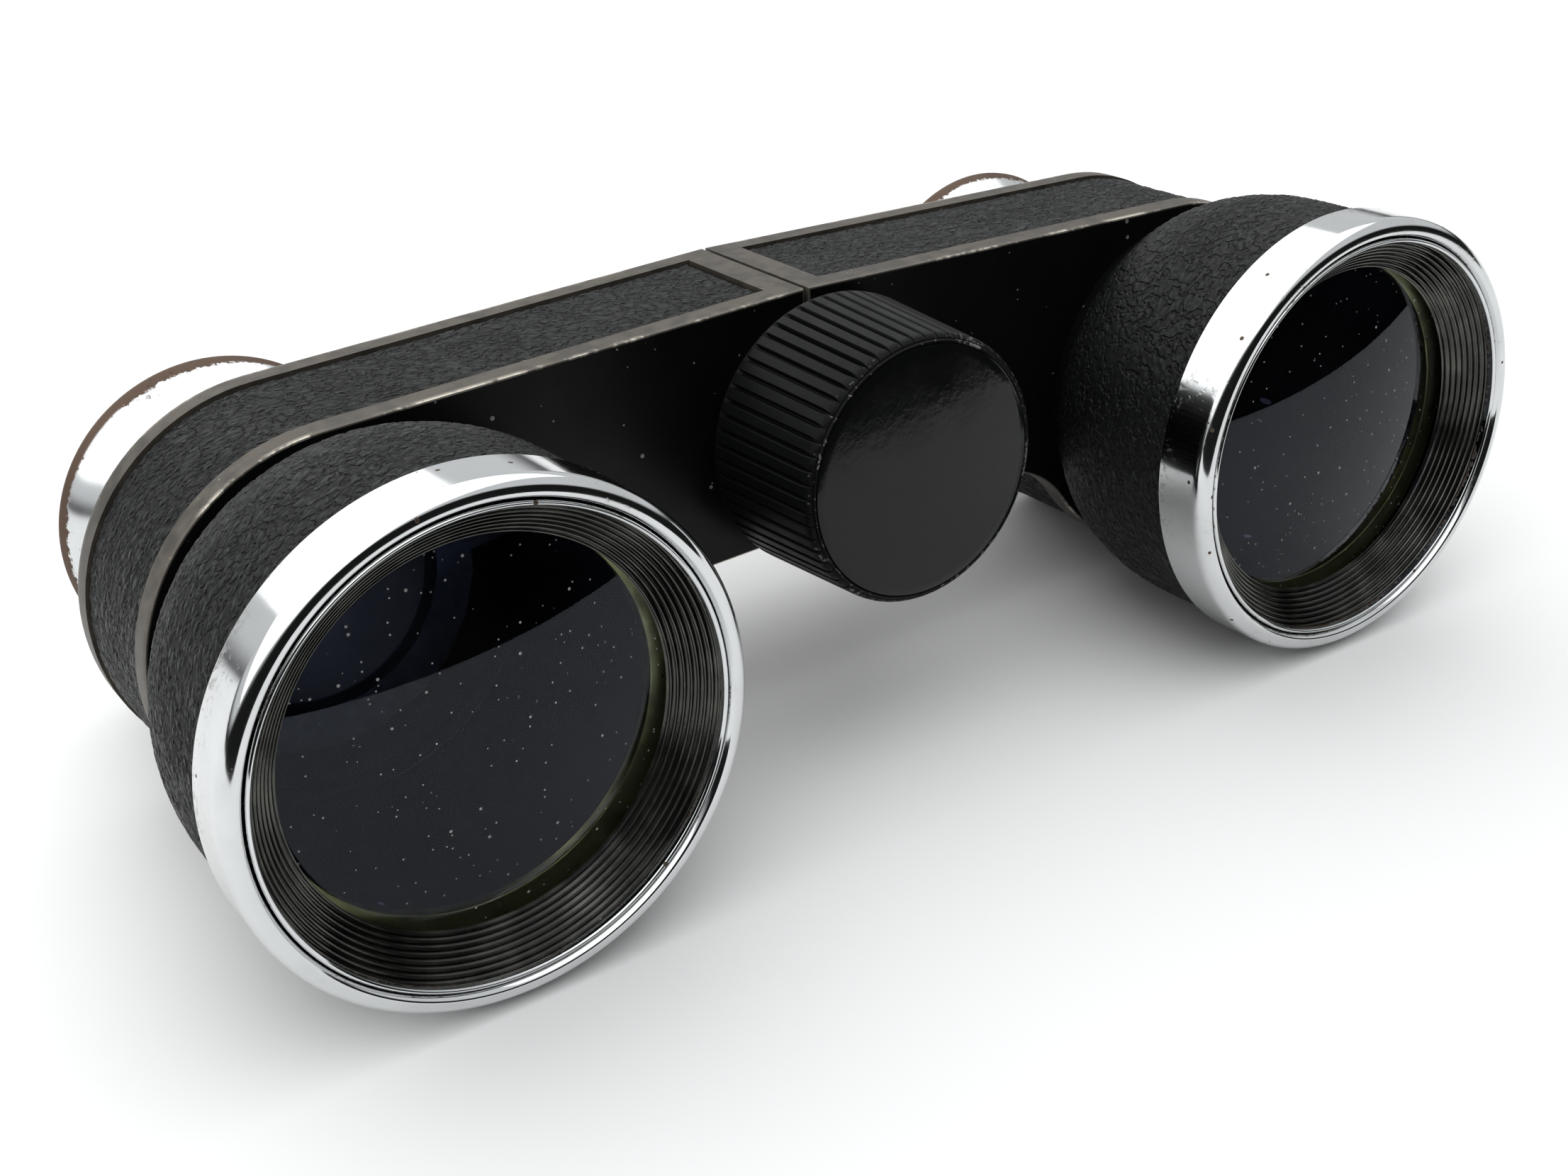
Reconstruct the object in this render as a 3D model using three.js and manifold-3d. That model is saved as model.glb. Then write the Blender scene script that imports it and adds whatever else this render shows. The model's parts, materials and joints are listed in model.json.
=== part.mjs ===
// Compact folding opera glasses: two short barrels on a centre hinge, focused by one knob.
// Millimetres. +Z is up, the objective lenses face -Y and the eyecups face +Y.
// Each half is drawn in its own (u, v) plane, with the hinge axis at the origin,
// u pointing out to its barrel and v pointing up. Distances along Y start at the front lips.

import * as THREE from 'three';
import { mergeVertices } from 'three/addons/utils/BufferGeometryUtils.js';
import Module from 'manifold-3d';

const wasm = await Module();
wasm.setup();

const LEFT = -1;
const RIGHT = 1;
const SIDE_NAMES = new Map([[LEFT, 'left'], [RIGHT, 'right']]);

// Hinge and barrel positions.
const AXIS_U = 32.5;
const AXIS_V = -3.9;
const BEND = THREE.MathUtils.degToRad(1.75);
const TOTAL_DEPTH = 41.3;

// Bar-shaped housings.
const END_R = 12.73;
const BAR_BOTTOM = -7.8;
const FILLET_R = 8;
const INNER_EDGE = 0.15;
const FOLD_RELIEF = THREE.MathUtils.degToRad(22.5);
const FRONT_PLATE = [18.1, 19.8];
const BACK_PLATE = [28.8, 30.4];
const STRIP_RECESS = 0.9;
const HOUSING_WALL = 1.4;
const END_BAND = 2.1;
const FIT_GAP = 0.05;

// Hinge knuckles, each one half of a plate's thickness.
const LUG_R = 5.6;
const LUG_CLEARANCE_R = 5.9;
const HINGE_WELL_R = 6.2;
const LUG_BORE_R = 3.08;
const FRONT_LUG = new Map([[LEFT, [18.1, 18.9]], [RIGHT, [19.0, 19.8]]]);
const REAR_LUG = new Map([[LEFT, [28.8, 29.55]], [RIGHT, [29.65, 30.4]]]);

// Objective barrels.
const RING_R = 15.1;
const RING_LENGTH = 3.9;
const TUBE_R = 14;
const WRAP_THICKNESS = 0.7;
const WRAP_GAP = 0.06;
const SHOULDER = [[14, 9.5], [13.85, 11.5], [13.4, 13.5], [12.75, 15.2], [11.9, 16.5]];
const NECK_R = 11.6;
const BARREL_SPIGOT_R = 11.2;
const LENS_R = 12.6;
const RIDGES = 8;
const RIDGE_DEPTH = 0.22;
const BAFFLE_FRONT = [13.45, 0.7];
const BAFFLE_BACK = [11.4, 2.5];

// Eyepieces and their carrier arms, at the rest focus.
const EYE_TUBE = { outer: 7.2, inner: 6.6, front: 21.9, back: 38.4 };
const GUIDE_BUSH = { outer: 8.85, bore: 7.3, front: 28.3, back: 31.2 };
const ARM_LAYER = new Map([[LEFT, [22, 23.2]], [RIGHT, [23.26, 24.44]]]);
const ARM_HALF_WIDTH = 2.4;
const ARM_PIVOT_R = 5.2;
const ARM_RING_R = 9.2;

// Focusing gear on the hinge axis.
const SPINDLE_R = 2;
const THREAD_CREST_R = 1.93;
const THREAD_ROOT_R = 1.6;
const THREAD_RIDGES = 6;
const NUT_R = 3.4;
const KNOB = { frontR: 8.55, backR: 9.07, faceR: 8.2, front: 6.3, back: 16, flutes: 60, depth: 0.3 };

const BARREL_SEGMENTS = 28;
const EYE_SEGMENTS = 24;
const SMALL_SEGMENTS = 20;

const FINISHES = {
  blackEnamel: [0x141517, 0.45, 0.3],
  leatherette: [0x1b1c1d, 0.8, 0],
  chrome: [0xd8dadc, 0.12, 1],
  blackBaffle: [0x0d0e0e, 0.6, 0.2],
  coatedGlass: [0x1a1d3a, 0.05, 0],
  clearGlass: [0x9fb0b4, 0.05, 0],
  brass: [0x9a7b35, 0.35, 1],
  steel: [0x8b8e91, 0.35, 1],
  knobBlack: [0x101112, 0.4, 0],
};

const materials = new Map();

function finish(name) {
  if (!materials.has(name)) {
    const [color, roughness, metalness] = FINISHES[name];
    materials.set(name, new THREE.MeshStandardMaterial({ name, color, roughness, metalness }));
  }
  return materials.get(name);
}

function part(name, geometry, finishName) {
  const mesh = new THREE.Mesh(geometry, finish(finishName));
  mesh.name = name;
  return mesh;
}

function sideName(side, piece) {
  return `${SIDE_NAMES.get(side)}_${piece}`;
}

// --- Solids -------------------------------------------------------------------------------

// Shares the vertices, drops flat triangles and turns the surface to face outwards.
function closedGeometry(source) {
  const bare = new THREE.BufferGeometry();
  bare.setAttribute('position', source.getAttribute('position').clone());
  if (source.index) {
    bare.setIndex(source.index.clone());
  }
  const merged = mergeVertices(bare, 1e-4);
  const corners = merged.index.array;
  const kept = [];
  for (let i = 0; i < corners.length; i += 3) {
    const [a, b, c] = [corners[i], corners[i + 1], corners[i + 2]];
    if (a !== b && b !== c && c !== a) {
      kept.push(a, b, c);
    }
  }
  const inward = signedVolume(merged.getAttribute('position'), kept) < 0;
  if (inward) {
    kept.reverse();
  }
  merged.setIndex(kept);
  return merged;
}

function signedVolume(position, corners) {
  const a = new THREE.Vector3();
  const b = new THREE.Vector3();
  const c = new THREE.Vector3();
  let total = 0;
  for (let i = 0; i < corners.length; i += 3) {
    a.fromBufferAttribute(position, corners[i]);
    b.fromBufferAttribute(position, corners[i + 1]);
    c.fromBufferAttribute(position, corners[i + 2]);
    total += a.dot(b.cross(c)) / 6;
  }
  return total;
}

function toSolid(geometry) {
  const closed = closedGeometry(geometry);
  const vertProperties = new Float32Array(closed.getAttribute('position').array);
  const triVerts = new Uint32Array(closed.index.array);
  const mesh = new wasm.Mesh({ numProp: 3, vertProperties, triVerts });
  return new wasm.Manifold(mesh);
}

function toGeometry(solid) {
  const mesh = solid.getMesh();
  const geometry = new THREE.BufferGeometry();
  geometry.setAttribute('position', new THREE.BufferAttribute(mesh.vertProperties.slice(), 3));
  geometry.setIndex(new THREE.BufferAttribute(mesh.triVerts.slice(), 1));
  geometry.computeVertexNormals();
  return geometry;
}

// Turns a profile of [radius, y] points about the Y axis.
// A profile that leaves the axis is closed back to its first point.
function turned(profile, segments) {
  const points = profile.map(([r, y]) => new THREE.Vector2(r, y));
  if (profile[0][0] > 0) {
    points.push(points[0].clone());
  }
  const geometry = closedGeometry(new THREE.LatheGeometry(points, segments));
  geometry.computeVertexNormals();
  return geometry;
}

// Extrudes a shape of the (u, v) plane from y = from to y = to.
function plate(shape, from, to) {
  const settings = { depth: to - from, bevelEnabled: false, curveSegments: 12 };
  const geometry = new THREE.ExtrudeGeometry(shape, settings);
  geometry.rotateX(Math.PI / 2);
  geometry.translate(0, to, 0);
  return geometry;
}

// A cylinder along Y with its centre at (u, v).
function rod(radius, from, to, segments, u = 0, v = 0) {
  const geometry = new THREE.CylinderGeometry(radius, radius, to - from, segments);
  geometry.translate(u, (from + to) / 2, v);
  return geometry;
}

function arcPoints(u, v, radius, start, end, steps) {
  const points = [];
  for (let i = 0; i <= steps; i += 1) {
    const angle = start + ((end - start) * i) / steps;
    points.push([u + radius * Math.cos(angle), v + radius * Math.sin(angle)]);
  }
  return points;
}

// --- Housings -----------------------------------------------------------------------------

// The outline of one half: flat top, round end about the barrel axis, a raised bottom edge
// joined by a hollow curve, and an inner edge cut back below the hinge so that it can fold.
function halfOutline(side, inset, innerEdge) {
  const top = AXIS_V + END_R - inset;
  const bottom = BAR_BOTTOM + inset;
  const filletV = BAR_BOTTOM - FILLET_R;
  const filletU = AXIS_U - Math.sqrt((END_R + FILLET_R) ** 2 - (AXIS_V - filletV) ** 2);
  const meeting = Math.atan2(filletV - AXIS_V, filletU - AXIS_U);
  const points = [
    [innerEdge - top * Math.tan(BEND), top],
    ...arcPoints(AXIS_U, AXIS_V, END_R - inset, Math.PI / 2, meeting, 18),
    ...arcPoints(filletU, filletV, FILLET_R + inset, meeting + Math.PI, Math.PI / 2, 5).slice(1),
    [innerEdge - bottom * Math.tan(FOLD_RELIEF), bottom],
    [innerEdge, 0],
  ];
  return new THREE.Shape(points.map(([u, v]) => new THREE.Vector2(side * u, v)));
}

function endBlock(side) {
  const width = END_BAND - INNER_EDGE + 6;
  const shape = new THREE.Shape();
  shape.moveTo(side * (END_BAND - width), 12);
  shape.lineTo(side * (END_BAND - 12 * Math.tan(BEND)), 12);
  shape.lineTo(side * END_BAND, 0);
  shape.lineTo(side * (END_BAND + 10 * Math.tan(FOLD_RELIEF)), -10);
  shape.lineTo(side * (END_BAND - width), -10);
  const [, from] = FRONT_PLATE;
  const [to] = BACK_PLATE;
  const full = toSolid(plate(halfOutline(side, 0, INNER_EDGE), from - 0.2, to - 0.02));
  return full.intersect(toSolid(plate(shape, from - 0.5, to + 0.5)));
}

// Swaps the other half's knuckle space for this half's knuckle, and bores it for the bush.
function withKnuckle(solid, side, lugs) {
  const [otherFrom, otherTo] = lugs.get(-side);
  const [from, to] = lugs.get(side);
  const space = side === LEFT ? [to, otherTo + 0.1] : [otherFrom - 0.1, from];
  const bore = rod(LUG_BORE_R, from - 1, to + 1, SMALL_SEGMENTS);
  return solid
    .subtract(toSolid(rod(LUG_CLEARANCE_R, ...space, SMALL_SEGMENTS)))
    .add(toSolid(rod(LUG_R, from, to, SMALL_SEGMENTS)))
    .subtract(toSolid(bore));
}

function housing(side) {
  const [front, inner] = FRONT_PLATE;
  const [back] = BACK_PLATE;
  const wallInset = STRIP_RECESS + HOUSING_WALL;
  const frontPlate = toSolid(plate(halfOutline(side, 0, INNER_EDGE), front, inner));
  const core = toSolid(plate(halfOutline(side, STRIP_RECESS, INNER_EDGE + 0.4), inner - 0.2, back - 0.02));
  const cavity = toSolid(plate(halfOutline(side, wallInset, END_BAND + 0.2), inner, back + 1));
  const well = toSolid(rod(HINGE_WELL_R, inner, back + 1, SMALL_SEGMENTS));
  const lightHole = rod(BARREL_SPIGOT_R + FIT_GAP, front - 1, inner + 1, BARREL_SEGMENTS);
  lightHole.translate(side * AXIS_U, 0, AXIS_V);
  const shell = frontPlate.add(core).add(endBlock(side)).subtract(cavity).subtract(well);
  const bored = shell.subtract(toSolid(lightHole));
  return toGeometry(withKnuckle(bored, side, FRONT_LUG));
}

function backPlate(side) {
  const [front, back] = BACK_PLATE;
  const full = toSolid(plate(halfOutline(side, 0, INNER_EDGE), front, back));
  const bushHole = rod(GUIDE_BUSH.outer + FIT_GAP, front - 1, back + 1, EYE_SEGMENTS);
  bushHole.translate(side * AXIS_U, 0, AXIS_V);
  return toGeometry(withKnuckle(full.subtract(toSolid(bushHole)), side, REAR_LUG));
}

function leatherStrip(side) {
  const from = FRONT_PLATE[1] + FIT_GAP;
  const to = BACK_PLATE[0] - 2 * FIT_GAP;
  const skin = toSolid(plate(halfOutline(side, 0.35, END_BAND + 0.2), from, to));
  const inside = halfOutline(side, STRIP_RECESS - FIT_GAP, -8);
  return toGeometry(skin.subtract(toSolid(plate(inside, from - 1, to + 1))));
}

// --- Objective barrels --------------------------------------------------------------------

function objectiveRing() {
  const profile = [
    [13.9, 0.3],
    [14.2, 0],
    [14.6, 0],
    [14.95, 0.25],
    [RING_R, 0.8],
    [RING_R, RING_LENGTH],
    [TUBE_R + FIT_GAP, RING_LENGTH],
    [TUBE_R + FIT_GAP, 2.98],
    [13.9, 2.98],
  ];
  return turned(profile, BARREL_SEGMENTS);
}

function trimRing() {
  return turned([[13.5, 0.25], [13.65, 0.1], [13.8, 0.25], [13.8, 0.65], [13.5, 0.65]], BARREL_SEGMENTS);
}

function ridgedBaffle() {
  const [frontR, frontY] = BAFFLE_FRONT;
  const [backR, backY] = BAFFLE_BACK;
  const profile = [[13.72, frontY], [13.72, backY + 0.4], [backR, backY + 0.4]];
  for (let i = 0; i < RIDGES; i += 1) {
    const crest = (i + 0.1) / RIDGES;
    const root = (i + 0.65) / RIDGES;
    const across = (t) => backR + (frontR - backR) * t;
    const along = (t) => backY + (frontY - backY) * t;
    profile.push([across(crest), along(crest)]);
    profile.push([across(root) + RIDGE_DEPTH, along(root) + RIDGE_DEPTH / 2]);
  }
  profile.push([frontR, frontY]);
  return turned(profile, EYE_SEGMENTS);
}

function objectiveLens() {
  const profile = [
    [0, 1.95],
    [4.5, 2.12],
    [8.5, 2.55],
    [11.4, 3.06],
    [LENS_R, 3.32],
    [LENS_R, 5],
    [8, 5.35],
    [0, 5.6],
  ];
  return turned(profile, EYE_SEGMENTS);
}

function lensSeatRing() {
  return turned([[11.2, 5.4], [LENS_R, 5.15], [LENS_R, 6.4], [11.2, 6.4]], EYE_SEGMENTS);
}

function barrelTube() {
  const neckBack = FRONT_PLATE[0];
  const profile = [
    [TUBE_R, 3],
    ...SHOULDER,
    [NECK_R, 16.6],
    [NECK_R, neckBack],
    [BARREL_SPIGOT_R, neckBack],
    [BARREL_SPIGOT_R, FRONT_PLATE[1]],
    [10.6, FRONT_PLATE[1]],
    [10.6, 15],
    [12.2, 6.5],
    [12.9, 6.5],
    [12.9, 3],
  ];
  return turned(profile, BARREL_SEGMENTS);
}

function barrelWrap() {
  const inner = SHOULDER.map(([r, y]) => [r + WRAP_GAP, y]);
  const outer = SHOULDER.map(([r, y]) => [r + WRAP_THICKNESS, y + 0.1]);
  const front = RING_LENGTH + FIT_GAP;
  const profile = [
    [TUBE_R + WRAP_GAP, front],
    [TUBE_R + WRAP_THICKNESS, front],
    ...outer,
    ...inner.reverse(),
  ];
  return turned(profile, BARREL_SEGMENTS);
}

// --- Eyepieces ----------------------------------------------------------------------------

function guideBush() {
  const { outer, bore, front, back } = GUIDE_BUSH;
  const shoulder = BACK_PLATE[1] + FIT_GAP;
  const profile = [
    [bore, front],
    [outer, front],
    [outer, shoulder],
    [outer + 0.6, shoulder],
    [outer + 0.6, back - 0.2],
    [outer + 0.3, back],
    [bore, back],
  ];
  return turned(profile, EYE_SEGMENTS);
}

function eyepieceTube() {
  const { outer, inner, front, back } = EYE_TUBE;
  return turned([[inner, front], [outer, front], [outer, back], [inner, back]], EYE_SEGMENTS);
}

function eyecup() {
  const bore = EYE_TUBE.outer + FIT_GAP;
  const profile = [
    [bore, 33.3],
    [7.9, 33.3],
    [8.3, 34.2],
    [8.75, 36.2],
    [9.6, 38.4],
    [10.55, 40.2],
    [10.75, 40.85],
    [10.55, 41.3],
    [10.15, 41.2],
    [9.3, 39.9],
    [8.1, 38.9],
    [bore, 38.6],
  ];
  return turned(profile, EYE_SEGMENTS);
}

function eyeLens() {
  const profile = [
    [0, 35.65],
    [3.4, 35.4],
    [6.5, 34.55],
    [6.5, 36.75],
    [3.4, 36.5],
    [0, 36.4],
  ];
  return turned(profile, SMALL_SEGMENTS);
}

function eyeLensRetainer() {
  return turned([[5.6, 36.95], [6.5, 36.85], [6.5, 37.6], [5.9, 37.6]], SMALL_SEGMENTS);
}

function carrierArm(side) {
  const [from, to] = ARM_LAYER.get(side);
  const end = new THREE.Vector2(side * AXIS_U, AXIS_V);
  const across = new THREE.Vector2(-end.y, end.x).setLength(ARM_HALF_WIDTH);
  const bar = new THREE.Shape([
    new THREE.Vector2(across.x, across.y),
    new THREE.Vector2(end.x + across.x, end.y + across.y),
    new THREE.Vector2(end.x - across.x, end.y - across.y),
    new THREE.Vector2(-across.x, -across.y),
  ]);
  const place = [EYE_SEGMENTS, end.x, end.y];
  const solid = toSolid(plate(bar, from, to))
    .add(toSolid(rod(ARM_PIVOT_R, from, to, SMALL_SEGMENTS)))
    .add(toSolid(rod(ARM_RING_R, from, to, ...place)))
    .subtract(toSolid(rod(NUT_R + 0.07, from - 1, to + 1, SMALL_SEGMENTS)))
    .subtract(toSolid(rod(EYE_TUBE.outer + 0.1, from - 1, to + 1, ...place)));
  return toGeometry(solid);
}

// --- Hinge and focusing gear --------------------------------------------------------------

function frontHingeBush() {
  const lip = FRONT_PLATE[0] - FIT_GAP;
  const profile = [[2.06, 17.15], [4.4, 17.15], [4.4, lip], [3, lip], [3, 19.95], [2.06, 19.95]];
  return turned(profile, SMALL_SEGMENTS);
}

function rearHingeBush() {
  const lip = BACK_PLATE[1] + FIT_GAP;
  const profile = [[2.06, 28.75], [3, 28.75], [3, lip], [4.4, lip], [4.4, 31.15], [2.06, 31.15]];
  return turned(profile, SMALL_SEGMENTS);
}

function frictionWasher() {
  return turned([[2.15, 16.15], [4.3, 16.15], [4.3, 17], [2.15, 17]], SMALL_SEGMENTS);
}

function focusSpindle() {
  const thread = [];
  const [threadFrom, threadTo] = [20.4, 28.4];
  for (let i = 0; i < THREAD_RIDGES; i += 1) {
    const at = (t) => threadFrom + ((threadTo - threadFrom) * (i + t)) / THREAD_RIDGES;
    thread.push([THREAD_ROOT_R, at(0)]);
    thread.push([THREAD_CREST_R, at(0.35)]);
    thread.push([THREAD_CREST_R, at(0.6)]);
  }
  const profile = [
    [0, 13.5],
    [1.15, 13.5],
    [1.15, 9.3],
    [SPINDLE_R, 9.3],
    [SPINDLE_R, 20.1],
    ...thread,
    [THREAD_ROOT_R, threadTo],
    [SPINDLE_R, 28.7],
    [SPINDLE_R, 31.3],
    [1.15, 31.3],
    [1.15, 29],
    [0, 29],
  ];
  return turned(profile, SMALL_SEGMENTS);
}

function slottedScrew(headR, shankR, headFrom, headTo, shankEnd) {
  const profile = [[0, headFrom], [headR, headFrom], [headR, headTo], [shankR, headTo], [shankR, shankEnd]];
  const body = toSolid(turned([...profile, [0, shankEnd]], SMALL_SEGMENTS));
  const slot = new THREE.BoxGeometry(headR * 3, 1, 0.7);
  const outward = Math.sign(headFrom - shankEnd);
  slot.translate(0, headFrom + outward * 0.1, 0);
  return toGeometry(body.subtract(toSolid(slot)));
}

function focusNut() {
  const profile = [[2, 21.9], [NUT_R, 21.9], [NUT_R, 24.5], [5, 24.5], [5, 25], [2, 25]];
  return turned(profile, SMALL_SEGMENTS);
}

// A slightly tapered prism with V grooves, trimmed to a chamfered envelope and bored.
function focusKnob() {
  const { frontR, backR, faceR, front, back, flutes, depth } = KNOB;
  const points = [];
  for (let i = 0; i < flutes; i += 1) {
    const at = (t) => ((i + t) * 2 * Math.PI) / flutes;
    for (const [t, r] of [[-0.33, backR], [0.33, backR], [0.5, backR - depth]]) {
      points.push(new THREE.Vector2(r * Math.cos(at(t)), r * Math.sin(at(t))));
    }
  }
  const prism = plate(new THREE.Shape(points), front, back);
  const position = prism.getAttribute('position');
  for (let i = 0; i < position.count; i += 1) {
    const along = (back - position.getY(i)) / (back - front);
    const scale = 1 + (frontR / backR - 1) * along;
    position.setX(i, position.getX(i) * scale);
    position.setZ(i, position.getZ(i) * scale);
  }
  const envelope = [[0, front], [faceR, front], [9.2, front + 1.3], [9.2, back - 0.3], [8.8, back], [0, back]];
  const faceRecess = rod(faceR - 0.35, front - 1, front + 1, EYE_SEGMENTS);
  const headRecess = rod(3.4, front, front + 3, SMALL_SEGMENTS);
  const bore = rod(SPINDLE_R + FIT_GAP, front, back + 1, SMALL_SEGMENTS);
  const solid = toSolid(prism)
    .intersect(toSolid(turned(envelope, flutes)))
    .subtract(toSolid(faceRecess))
    .subtract(toSolid(headRecess))
    .subtract(toSolid(bore));
  return toGeometry(solid);
}

function knobFaceCap() {
  const r = KNOB.faceR - 0.42;
  const back = KNOB.front + 0.95;
  return turned([[0, 5.9], [3, 5.97], [6, 6.14], [r, 6.35], [r, back], [0, back]], EYE_SEGMENTS);
}

// --- Assembly -----------------------------------------------------------------------------

// The parts that share one barrel's optical axis.
function barrelGroup(side) {
  const group = new THREE.Group();
  group.name = sideName(side, 'barrel');
  group.position.set(side * AXIS_U, 0, AXIS_V);
  group.rotation.y = -side * BEND;
  group.add(
    part(sideName(side, 'objective_ring'), objectiveRing(), 'chrome'),
    part(sideName(side, 'trim_ring'), trimRing(), 'chrome'),
    part(sideName(side, 'ridged_baffle'), ridgedBaffle(), 'blackBaffle'),
    part(sideName(side, 'objective_lens'), objectiveLens(), 'coatedGlass'),
    part(sideName(side, 'lens_seat_ring'), lensSeatRing(), 'brass'),
    part(sideName(side, 'barrel_tube'), barrelTube(), 'blackEnamel'),
    part(sideName(side, 'barrel_wrap'), barrelWrap(), 'leatherette'),
    part(sideName(side, 'guide_bush'), guideBush(), 'blackEnamel'),
    part(sideName(side, 'eyepiece_tube'), eyepieceTube(), 'chrome'),
    part(sideName(side, 'eyecup'), eyecup(), 'chrome'),
    part(sideName(side, 'eye_lens'), eyeLens(), 'clearGlass'),
    part(sideName(side, 'eye_lens_retainer'), eyeLensRetainer(), 'blackEnamel'),
  );
  return group;
}

function halfGroup(side) {
  const group = new THREE.Group();
  group.name = sideName(side, 'half');
  group.rotation.y = side * BEND;
  group.add(
    part(sideName(side, 'housing'), housing(side), 'blackEnamel'),
    part(sideName(side, 'back_plate'), backPlate(side), 'blackEnamel'),
    part(sideName(side, 'leather_strip'), leatherStrip(side), 'leatherette'),
    part(sideName(side, 'carrier_arm'), carrierArm(side), 'steel'),
    barrelGroup(side),
  );
  return group;
}

function focusGroup() {
  const group = new THREE.Group();
  group.name = 'focus_gear';
  group.add(
    part('front_hinge_bush', frontHingeBush(), 'brass'),
    part('rear_hinge_bush', rearHingeBush(), 'brass'),
    part('friction_washer', frictionWasher(), 'steel'),
    part('focus_spindle', focusSpindle(), 'brass'),
    part('focus_nut', focusNut(), 'brass'),
    part('focus_knob', focusKnob(), 'knobBlack'),
    part('knob_face_cap', knobFaceCap(), 'knobBlack'),
    part('knob_screw', slottedScrew(3.2, 1.05, 7.5, 9.2, 13.2), 'steel'),
    part('spindle_end_screw', slottedScrew(3.5, 1.05, 32.4, 31.4, 29.3), 'steel'),
  );
  return group;
}

function buildBinoculars() {
  const binoculars = new THREE.Group();
  binoculars.name = 'binoculars';
  const pivotZ = RING_R + AXIS_U * Math.sin(BEND) - AXIS_V * Math.cos(BEND);
  binoculars.position.set(0, -TOTAL_DEPTH / 2, pivotZ);
  binoculars.add(halfGroup(LEFT), halfGroup(RIGHT), focusGroup());
  return binoculars;
}

export default buildBinoculars();
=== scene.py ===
"""Looks of a pair of compact folding opera glasses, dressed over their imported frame.

Lengths in the classes are millimetres. A station is a distance behind the front lips of the
objective rings. Each half is drawn in its own (u, v) plane, with the hinge axis at the origin,
u pointing out to its barrel and v pointing up.
"""

import json
import logging
import math
from dataclasses import dataclass
from enum import Enum
from typing import Any, Callable, ClassVar, Sequence

import bmesh
import bpy
import numpy as np
from mathutils import Matrix, Vector, noise


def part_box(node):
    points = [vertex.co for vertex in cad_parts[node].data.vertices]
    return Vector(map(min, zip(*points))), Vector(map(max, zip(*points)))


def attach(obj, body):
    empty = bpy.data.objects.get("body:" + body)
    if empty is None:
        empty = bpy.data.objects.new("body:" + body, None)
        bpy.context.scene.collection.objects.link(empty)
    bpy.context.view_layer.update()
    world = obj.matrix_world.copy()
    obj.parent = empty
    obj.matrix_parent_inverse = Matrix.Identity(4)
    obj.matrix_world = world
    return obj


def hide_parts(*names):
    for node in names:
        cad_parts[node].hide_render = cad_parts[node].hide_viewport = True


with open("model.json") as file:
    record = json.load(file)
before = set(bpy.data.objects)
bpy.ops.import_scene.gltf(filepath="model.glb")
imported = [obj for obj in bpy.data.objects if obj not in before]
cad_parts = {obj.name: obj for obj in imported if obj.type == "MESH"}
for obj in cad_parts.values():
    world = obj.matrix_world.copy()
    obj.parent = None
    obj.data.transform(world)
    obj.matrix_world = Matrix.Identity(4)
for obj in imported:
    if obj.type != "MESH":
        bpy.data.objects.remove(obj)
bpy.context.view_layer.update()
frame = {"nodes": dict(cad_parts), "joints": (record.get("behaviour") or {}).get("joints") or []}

LOG = logging.getLogger("opera_glasses")
MM = 0.001

DOUBLES = 1e-7
STRIP_SEED, WRAP_SEED = 3.0, 20.0

Point2 = tuple[float, float]
Colour = tuple[float, float, float]
Profile = Sequence[tuple[float, ...]]


class Side(Enum):
    """Which half a piece belongs to, as the sign of its X."""

    LEFT = -1
    RIGHT = 1

    def node(self, piece: str) -> str:
        """The CAD name of this side's piece or body."""
        return f"{self.name.lower()}_{piece}"


class Cut(Enum):
    """How a second solid changes the first."""

    AWAY = "DIFFERENCE"
    JOIN = "UNION"


@dataclass(frozen=True)
class Layout:
    """Where the hinge and the barrels stand, in metres, and how far each half is bent."""

    front: float
    axis_x: float
    axis_z: float
    pivot_z: float
    bend: float = math.radians(1.75)

    @classmethod
    def from_frame(cls) -> "Layout":
        """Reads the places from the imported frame.

        Returns:
            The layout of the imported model.
        """
        low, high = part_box("right_objective_ring")
        fold = next(joint for joint in frame["joints"] if joint["name"] == "fold")
        return cls(low.y, (low.x + high.x) / 2, (low.z + high.z) / 2, fold["pos_m"][2])

    def station(self, station: float) -> float:
        """The Y of a station, in metres."""
        return self.front + station * MM

    def barrel(self, side: Side) -> Point2:
        """The X and Z of one barrel's axis."""
        return side.value * self.axis_x, self.axis_z

    @property
    def hinge(self) -> Point2:
        """The X and Z of the hinge axis."""
        return 0.0, self.pivot_z

    def half_point(self, side: Side, u: float, v: float, station: float) -> Vector:
        """Places a point of a half's own plane.

        Args:
            side: The half.
            u: Distance out from the hinge axis.
            v: Height above the hinge axis.
            station: Distance behind the front lips.

        Returns:
            The point in metres.
        """
        cos, sin = math.cos(self.bend), math.sin(self.bend)
        x = side.value * (cos * u + sin * v) * MM
        z = self.pivot_z + (cos * v - sin * u) * MM
        return Vector((x, self.station(station), z))


# --- Mesh work ------------------------------------------------------------------------------


def place(name: str, mesh: bpy.types.Mesh) -> bpy.types.Object:
    """Puts a mesh in the scene as an object at the origin."""
    obj = bpy.data.objects.new(name, mesh)
    bpy.context.scene.collection.objects.link(obj)
    return obj


def bake(obj: bpy.types.Object) -> bpy.types.Object:
    """Turns an object's modifiers into its plain mesh.

    Args:
        obj: The object, whose modifiers are then removed.

    Returns:
        The same object.
    """
    depsgraph = bpy.context.evaluated_depsgraph_get()
    mesh = bpy.data.meshes.new_from_object(obj.evaluated_get(depsgraph))
    old = obj.data
    obj.modifiers.clear()
    obj.data = mesh
    bpy.data.meshes.remove(old)
    return obj


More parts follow.
